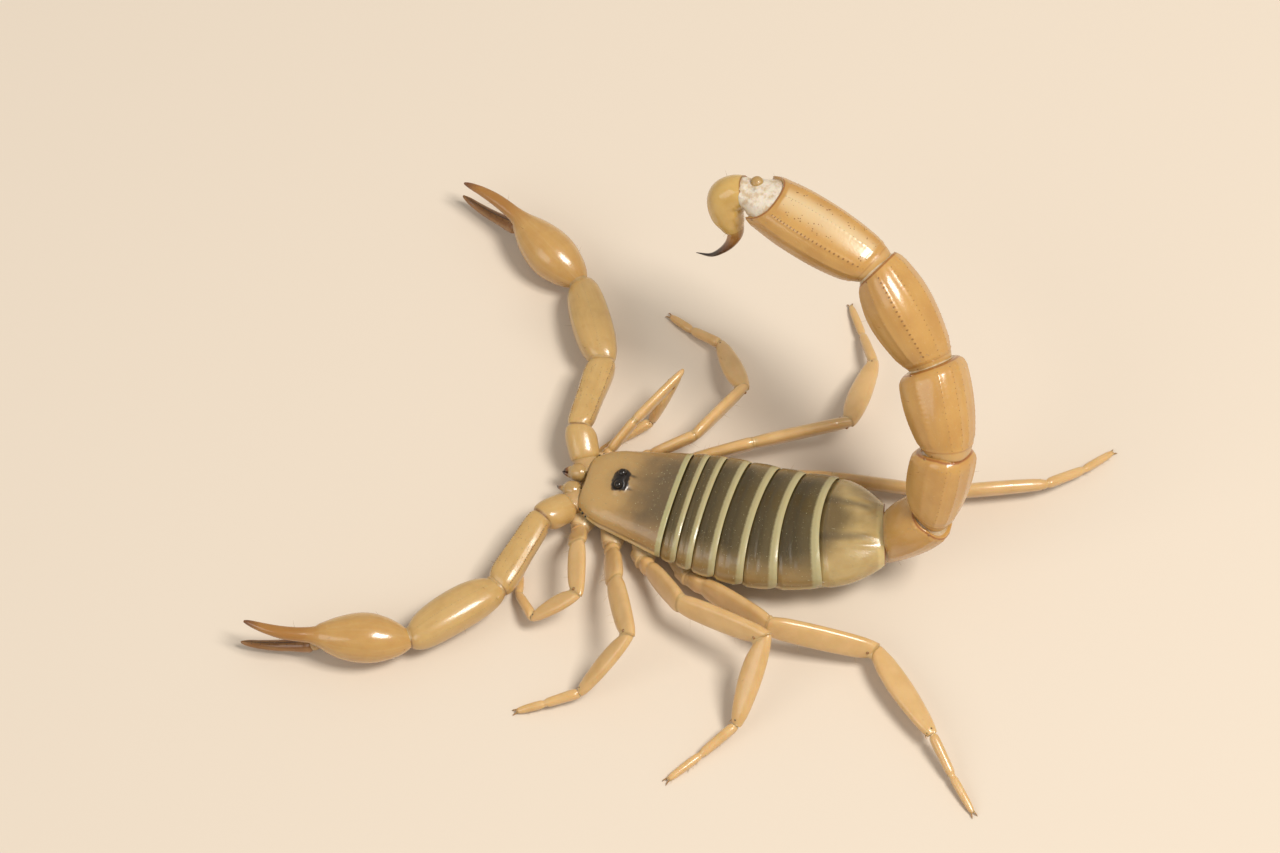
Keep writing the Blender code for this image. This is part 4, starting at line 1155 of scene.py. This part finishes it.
for (name, number), pose in LEG_POSES.items():
    sign = 1 if name == "left" else -1
    lengths, girth = LEG_LENGTHS[number - 1], LEG_GIRTHS[number - 1]
    root = Vector((sign * LEG_ROOTS[number - 1][0], *LEG_ROOTS[number - 1][1:]))
    points = chain_points(root, lengths, pose)
    dip = math.degrees(math.asin((TOE_HEIGHT - points[-1].z) / lengths[4]))
    points.append(points[-1] + direction(TOE_HEADINGS[name, number], dip) * lengths[4])
    spans = [b - a for a, b in zip(points, points[1:])]
    lean = LEG_BACKS.get((name, number), (-sign * LEG_LEAN, 0, 1))
    upper = Length(points[0], points[1], scaled(LEG_1, girth), after=spans[1], dorsal=lean,
                   relief=leg_keel)
    middle = Length(points[1], points[2], scaled(LEG_2, girth), spans[0], spans[2], lean,
                    relief=leg_keel)
    tibia = Length(points[2], points[3], scaled(TIBIA, girth), spans[1], spans[3],
                   dorsal=TIBIA_BACKS.get((name, number), spans[1]))
    basitarsus = Length(points[3], points[4], BASITARSUS, spans[2], spans[4])
    toe = Length(points[4], points[5], TOE, spans[3])
    title = "leg_%s_%d_" % (name, number)

    piece = Piece(seed=90 + number)
    for hair in range(5):
        turn, place = piece.chance.uniform(180, 360), piece.chance.uniform(0.3, 0.9)
        foot = upper.point(turn, place, -0.02)
        piece.spike(foot, upper.point(turn, place, 1.0) - foot + upper.along * 0.5, 0.55, 0.010,
                    0.2, sides=3)
    skin(piece, upper, 44, 60, long=lengths[0])
    piece.finish(title + "upper", leg_shell, "leg", "leg_%s_%d_femur" % (name, number))
    piece = Piece(seed=95 + number)
    for turn in (0, 180):
        piece.ball(middle.point(turn, 0.95, -0.03), (0.10, 0.10, 0.10), 0.6, fine=12)
    for hair in range(5):
        turn, place = piece.chance.uniform(180, 360), piece.chance.uniform(0.1, 0.9)
        foot = middle.point(turn, place, -0.02)
        piece.spike(foot, middle.point(turn, place, 1.0) - foot + middle.along * 0.5, 0.55, 0.010,
                    0.2, sides=3)
    skin(piece, middle, 44, 60, long=lengths[1])
    piece.finish(title + "middle", leg_shell, "leg", "leg_%s_%d_patella" % (name, number))

    piece = Piece(seed=100 + number)
    for turn in (0, 180):
        piece.ball(tibia.point(turn, 0.955, -0.03), (0.06, 0.06, 0.06), 0.9, fine=12)
        piece.ball(basitarsus.point(turn, 0.94, -0.03), (0.045, 0.045, 0.045), 0.8, fine=12)
    for length, turn in ((tibia, -115), (tibia, -65), (basitarsus, -115), (basitarsus, -65)):
        foot = length.point(turn, 0.97, -0.04)
        piece.spike(foot, length.along - length.up * 0.5, 0.30, 0.040, 0.35, sides=8)
    for side in (1, -1):
        knuckle = toe.point(90, 0.97, -0.12) + toe.side * side * 0.07
        bend = toe.along - toe.up * 0.12 + toe.side * side * 0.25
        tip = knuckle + bend.normalized() * 0.26
        piece.spike(knuckle, bend, 0.27, 0.048, 0.4, sides=8, tip=0.75)
        piece.spike(tip, bend - toe.up * 0.9, 0.20, 0.036, 0.5, sides=8)
    for hair in range(26):
        length = (tibia, basitarsus, toe, toe)[hair % 4]
        turn, place = piece.chance.uniform(190, 350), piece.chance.uniform(0.1, 0.95)
        foot = length.point(turn, place, -0.02)
        piece.spike(foot, length.point(turn, place, 1.0) - foot + length.along * 0.9,
                    0.24, 0.010, 0.2, sides=3)
    skin(piece, Chain(tibia, basitarsus, toe), 32, 150, long=sum(lengths[2:]), ends=(0.06, 0.06))
    piece.finish(title + "foot", leg_shell, "leg", "leg_%s_%d_foot" % (name, number))
    piece = Piece()
    socket = Length(points[0] - spans[0].normalized() * 0.6 - Vector((sign * 0.2, 0, 0)), points[0],
                    scaled(((0.0, 0.5, 0.5, 0, 0), (1.0, 0.46, 0.46, 0, 0)), girth))
    for low, high in ((socket, upper), (upper, middle), (middle, tibia)):
        joint_skin(piece, low, high, 0.97, 28)
    skin(piece, socket, 28, 18, long=1.0)
    piece.finish(title + "joint_skin", leg_skin, "leg")

# ---- Tail ---------------------------------------------------------------------
# Five barrels of firm shell carry the poison bulb over the back.  Rows of dark
# grains stand on their keels; brown rims, horny pegs and pale stretched skin
# join them.
TAIL_ROOT = (-1.10, 15.72, 3.35)
TAIL_LENGTHS = (4.05, 4.6, 4.8, 6.0, 7.5)
TAIL_POSE = ((-174, 53), (-92, 68), (-59, 32), (-36, 34), (-15, 7))
TAIL_ROLLS = (6, -21, -21, -32, -77)
TAIL_HALF_WIDTHS = (1.62, 1.72, 1.88, 1.80, 1.74)
TAIL_HALF_HEIGHTS = (1.50, 1.66, 1.80, 1.72, 1.58)
TAIL_RISES = (0, 0.2, 0, 0, 0)
TAIL_ROOT_WAY = (-152, -53)     # turns the first length's front face to the last back plate
TAIL_REACHES = ((0.75, 0.15), (0.75, 0.30), (0.75, 0.42), (0.75, 0.42), (0.30, 0.05))
TAIL_GAPS = ((-0.55, 0.04), (-0.22, 0.04), (-0.22, 0.04), (-0.22, 0.04), (-0.10, 0.04))
GRAIN_STEP = 0.28               # from one dark grain of a keel to the next
VENT_SLOPE = 5.0                # how steeply the last length's end is cut back below
FIRST_PROFILE = ((0.0, 0.72), (0.03, 0.76), (0.08, 0.80), (0.25, 0.89), (0.45, 0.94), (0.70, 0.94),
                 (0.90, 0.88), (0.965, 0.84), (1.0, 0.76))
MIDDLE_PROFILE = ((0.0, 0.56), (0.03, 0.63), (0.08, 0.70), (0.20, 0.83), (0.45, 0.96), (0.68, 1.0),
                  (0.88, 0.98), (0.95, 0.91), (0.985, 0.81), (1.0, 0.70))
FOURTH_PROFILE = ((0.0, 0.56), (0.03, 0.63), (0.08, 0.70), (0.20, 0.83), (0.45, 0.96), (0.66, 0.97),
                  (0.86, 0.86), (0.96, 0.75), (1.0, 0.67))
LAST_PROFILE = ((0.0, 0.54), (0.025, 0.62), (0.06, 0.70), (0.15, 0.84), (0.40, 0.97), (0.70, 0.98),
                (0.90, 0.90), (0.965, 0.86), (1.0, 0.80))
# for each length: the middle of its underside, the keels counted from there, and
# whether each keel's grains are dark (1), pale (-1) or plain (0)
TAIL_KEELS = (
    (-88, ((-12, 0), (12, 0), (-42, 0), (42, 0.5), (-78, 0), (78, 0), (-125, 0), (125, 0))),
    (-80, ((-11, 0.2), (11, 0.3), (-42, 0), (42, 0.4), (-78, 0), (78, 0), (-125, 0), (125, 0))),
    (-76, ((-10, 0.3), (10, 0.4), (-42, 0.2), (40, 0.4), (-78, 0), (78, 0), (-125, 0), (125, 0))),
    (-96, ((-13, 0.3), (13, 0.5), (-45, 0.2), (53, 0.9), (-82, 0), (88, 0), (-125, 0), (130, 0))),
    (-99, ((0, -0.8), (40, 1.0), (-37, 0.5), (75, 0), (-75, 0), (120, 0), (-120, 0))),
)


def tail_relief(number):
    """Keels, end rims and a scalloped lower edge of one tail length."""
    middle, keels = TAIL_KEELS[number - 1]
    span = TAIL_LENGTHS[number - 1]

    def relief(turn, place):
        fade = smooth_step((place - 0.06) / 0.12) * smooth_step((1 - place) / 0.06)
        height = 0.0
        for keel, grain in keels:
            off = (turn - middle - keel + 180) % 360 - 180
            if abs(off) < 20:
                knobs = 0.004 * math.cos(2 * math.pi * place * span / 0.27)
                height += (0.040 + knobs) * bump(off, 0, 4.5)
        rims = 0.03 * bump(place, 0.10, 0.012) + 0.015 * bump(place, 0.985, 0.008)
        return height * fade + rims
    return relief


def tail_tone(number):
    """Brown spots under the dark grains, and a paler face below the last length, partly its whitish
    shell and partly a painted glare.
    """
    middle, keels = TAIL_KEELS[number - 1]
    span = TAIL_LENGTHS[number - 1]

    def tone(turn, place):
        fade = smooth_step((place - 0.07) / 0.05) * smooth_step((0.97 - place) / 0.04)
        spots = (0.5 + 0.5 * math.cos(2 * math.pi * place * span / GRAIN_STEP)) ** 2
        off = (turn - middle + 180) % 360 - 180
        # Below the last length the face is paler: partly its whitish shell, partly a painted glare.
        pale = 0.50 * bump(off, 0, 26) * fade if number == 5 else 0.0
        return spots * fade * max(max(0.0, dark) * 0.85 * bump(off, keel, 3.6)
                                  for keel, dark in keels) - pale
    return tone


tail_shell = Paint("tail_shell", roughness=0.27, coat=0.5, depth=0.30)
around, along = tail_shell.layout()
cloud = tail_shell.mottle(1.6)
color = tail_shell.blend((0.56, 0.315, 0.090), (0.48, 0.25, 0.066), cloud.step(0.35, 0.70) * 0.7)
collar = along.step(0.55, 0.30) * (100 - along).step(50, 51)
color = tail_shell.blend(color, (0.56, 0.40, 0.19), collar * 0.30)
rims = along.step(0.10, 0.0) + along.near(99.93, 0.07) + along.near(0.44, 0.07) * 0.35
color = tail_shell.blend(color, (0.30, 0.10, 0.022), rims * 0.9)
color = tail_shell.blend(color, (0.60, 0.46, 0.25), tail_shell.mottle(0.13, 4.0).step(0.60, 0.75)
                         * 0.25)
mark = tail_shell.tone()
# A negative tone paints the pale grains, and below the last length also a painted glare.
color = tail_shell.blend(color, (0.78, 0.64, 0.40), (0 - mark).step(0.1, 0.8))
color = tail_shell.blend(color, (0.27, 0.125, 0.034), mark.step(0.2, 0.6))
color = tail_shell.blend(color, (0.13, 0.058, 0.018), mark.step(0.6, 1.0))
tail_shell.set("Base Color", color)
tail_shell.grain(0.12, 0.008)

tail_points = chain_points(TAIL_ROOT, TAIL_LENGTHS, TAIL_POSE)
tail_spans = [b - a for a, b in zip(tail_points, tail_points[1:])]
tail_parts = []
for number in range(1, 6):
    profile = {1: FIRST_PROFILE, 4: FOURTH_PROFILE, 5: LAST_PROFILE}.get(number, MIDDLE_PROFILE)
    stations = [(place, TAIL_HALF_WIDTHS[number - 1] * size, TAIL_HALF_HEIGHTS[number - 1] * size,
                 0, TAIL_RISES[number - 1]) for place, size in profile]
    start, end = tail_points[number - 1:number + 1]
    along_tail = (end - start).normalized()
    up = Vector((0, -1, 0))
    up = (up - along_tail * up.dot(along_tail)).normalized()
    dorsal = Matrix.Rotation(math.radians(TAIL_ROLLS[number - 1]), 3, along_tail) @ up
    before = tail_spans[number - 2] if number > 1 else direction(*TAIL_ROOT_WAY)
    after = tail_spans[number] if number < 5 else along_tail - dorsal * VENT_SLOPE
    tail_parts.append(Length(start, end, stations, before, after, dorsal, 0.8,
                             TAIL_REACHES[number - 1], TAIL_GAPS[number - 1],
                             tail_relief(number)))

for number, part in enumerate(tail_parts, 1):
    piece = Piece(seed=110 + number)
    middle, keels = TAIL_KEELS[number - 1]
    for keel, dark in keels:
        for grain in range(2, int(TAIL_LENGTHS[number - 1] / GRAIN_STEP) if dark else 0):
            place = (grain + piece.chance.uniform(-0.1, 0.1)) * GRAIN_STEP / TAIL_LENGTHS[number - 1]
            size = piece.chance.uniform(0.030, 0.040)
            piece.bead(part.point(middle + keel, place, -0.020), size, dark * 0.5)
    for _ in range(90):
        near_end = piece.chance.choice((piece.chance.uniform(0.06, 0.16),
                                        piece.chance.uniform(0.78, 0.94)))
        piece.bead(part.point(piece.chance.uniform(0, 360), near_end, -0.012),
                   piece.chance.uniform(0.020, 0.036), -0.35)
    if number == 5:
        for _ in range(44):
            turn = middle + piece.chance.choice((-18, 18)) + piece.chance.gauss(0, 4)
            piece.bead(part.point(turn, piece.chance.uniform(0.10, 0.85), -0.020),
                       piece.chance.uniform(0.034, 0.050), 0.40)
    for hair in range(3):
        turn, place = piece.chance.uniform(0, 360), piece.chance.uniform(0.2, 0.95)
        foot = part.point(turn, place, -0.02)
        piece.spike(foot, part.point(turn, place, 1.0) - foot + part.along * 0.4, 0.45, 0.010,
                    sides=3)
    for end_place, size in ((0.05, 0.07), (0.975, 0.09)):
        for turn in (middle + 90, middle - 90):
            piece.ball(part.point(turn, end_place, -0.05), (size, size, size), 0.62, fine=14)
    skin(piece, part, 168, 110 if number < 5 else 140, long=TAIL_LENGTHS[number - 1],
         ends=(0.10, -0.25), tone=tail_tone(number))
    piece.finish("tail_length_%d" % number, tail_shell, "tail", "tail_%d" % number)

tail_skin = Paint("tail_joint_skin", roughness=0.32, coat=0.4, depth=0.3)
color = tail_skin.blend((0.62, 0.48, 0.31), (0.50, 0.34, 0.17), tail_skin.mottle(0.35).step(0.4, 0.7))
tail_skin.set("Base Color", color)
tail_skin.grain(0.10, 0.03)
piece = Piece()
for low, high in zip(tail_parts, tail_parts[1:]):
    joint_skin(piece, low, high, 0.90, 72)
sleeve = Length(tail_points[0] + Vector((0.15, -1.0, 0.0)), tail_points[0] + Vector((0.0, 0.1, 0.1)),
                ((0.0, 1.05, 0.90, 0, -0.20), (1.0, 1.10, 0.95, 0, -0.10)))
skin(piece, sleeve, 48, 24, long=1.0)
piece.finish("tail_joint_skins", tail_skin, "tail")

# ---- Poison bulb and sting ----------------------------------------------------
# The bulb is smooth amber shell; the hollow sting is part of it and bends down
# from its end, darkening to black.  Soft skin round the anus fills its hinge.
# from the hinge to the bulb's open base, then the steps of the middle line to the sting's
# tip (length, heading, pitch), and the radius at the base and after every step
TELSON_BASE = (-0.10, -0.77, 0.02)
TELSON_STEPS = ((0.71, 11, -25), (0.66, 28, -50), (0.82, 115, -63), (0.77, 143, -54),
                (0.58, 140, -58), (0.69, 63, -66), (0.81, 27, -57), (0.95, 9, -47),
                (1.07, -13, -30))
TELSON_RADII = (0.84, 0.98, 1.05, 0.97, 0.72, 0.47, 0.31, 0.20, 0.11, 0.02)


class Path:
    """A bent tube: its middle line runs smoothly through points, its rings square to it."""

    def __init__(self, points, radii, dorsal):
        self.rows = [(index / (len(points) - 1), *point, radius)
                     for index, (point, radius) in enumerate(zip(points, radii))]
        self.dorsal = Vector(dorsal)

    def point(self, turn, place, lift=0.0, shrink=1.0):
        low, middle, high = (smoothly(self.rows, max(0.0, min(1.0, place + step)))
                             for step in (-0.01, 0, 0.01))
        along = (Vector(high[:3]) - Vector(low[:3])).normalized()
        up = (self.dorsal - along * self.dorsal.dot(along)).normalized()
        angle, size = math.radians(turn), middle[3] * shrink + lift
        return (Vector(middle[:3]) + along.cross(up) * math.cos(angle) * size
                + up * math.sin(angle) * size)


telson_shell = Paint("telson_shell", roughness=0.20, coat=0.7, depth=0.15)
around, along = telson_shell.layout()
cloud = telson_shell.mottle(0.9)
color = telson_shell.blend((0.60, 0.385, 0.115), (0.50, 0.30, 0.075), cloud.step(0.35, 0.70) * 0.7)
color = telson_shell.blend(color, (0.22, 0.085, 0.02), along.step(0.16, 0.02) * 0.85)
toward_tip = along + (cloud - 0.5) * 0.3
color = telson_shell.blend(color, (0.34, 0.145, 0.028), toward_tip.step(95.9, 97.0))
color = telson_shell.blend(color, (0.13, 0.042, 0.012), toward_tip.step(97.0, 98.0))
color = telson_shell.blend(color, (0.018, 0.008, 0.005), toward_tip.step(97.8, 99.0))
color = telson_shell.blend(color, (0.30, 0.17, 0.05), telson_shell.tone().step(0.3, 0.9))
telson_shell.set("Base Color", color)
telson_shell.grain(0.12, 0.006)
last = tail_parts[4]
telson_points = chain_points(tail_points[5] + Vector(TELSON_BASE),
                             [step[0] for step in TELSON_STEPS],
                             [step[1:] for step in TELSON_STEPS])
telson = Path(telson_points, TELSON_RADII, last.up)
piece = Piece(seed=120)
for hair in range(8):
    turn, place = piece.chance.uniform(0, 360), piece.chance.uniform(0.05, 0.5)
    foot = telson.point(turn, place, -0.02)
    piece.spike(foot, telson.point(turn, place, 1.0) - foot, 0.40, 0.010, 0.5, sides=3)
skin(piece, telson, 72, 150, long=sum(step[0] for step in TELSON_STEPS), ends=(-0.10, 0.01))
piece.finish("bulb_and_sting", telson_shell, "bulb", "telson_bulb", "telson_sting")
# place of each soft knob round the anus: sideways, forwards and down; then size and tone
ANUS_KNOBS = ((-0.40, 0.42, 0.60, 0.36, 0.6), (0.10, 0.20, 0.62, 0.26, 0.0),
              (0.45, 0.10, 0.50, 0.24, 0.25))
vent_skin = Paint("vent_skin", roughness=0.32, coat=0.4, depth=0.3)
color = vent_skin.blend((0.74, 0.66, 0.54), (0.56, 0.42, 0.26), vent_skin.mottle(0.35).step(0.4, 0.7))
color = vent_skin.blend(color, (0.42, 0.26, 0.09), vent_skin.tone().step(0.1, 0.6))
vent_skin.set("Base Color", color)
vent_skin.grain(0.10, 0.03)
piece = Piece(seed=121)
for hair in range(12):
    turn = 30 * hair
    foot = last.point(turn, 0.985, -0.05)
    piece.spike(foot, last.along + (last.point(turn, 0.98, 1.0) - foot) * 0.4, 0.40, 0.010,
                sides=3)
joint_skin(piece, last, telson, 0.90, 72)
for sideways, forwards, down, size, knob_tone in ANUS_KNOBS:
    spot = tail_points[5] + last.along * forwards - last.up * down + last.side * sideways
    piece.ball(spot, (size, size, size * 0.8), knob_tone, way=last.up, fine=20)
piece.finish("anal_skin", vent_skin, "tail")
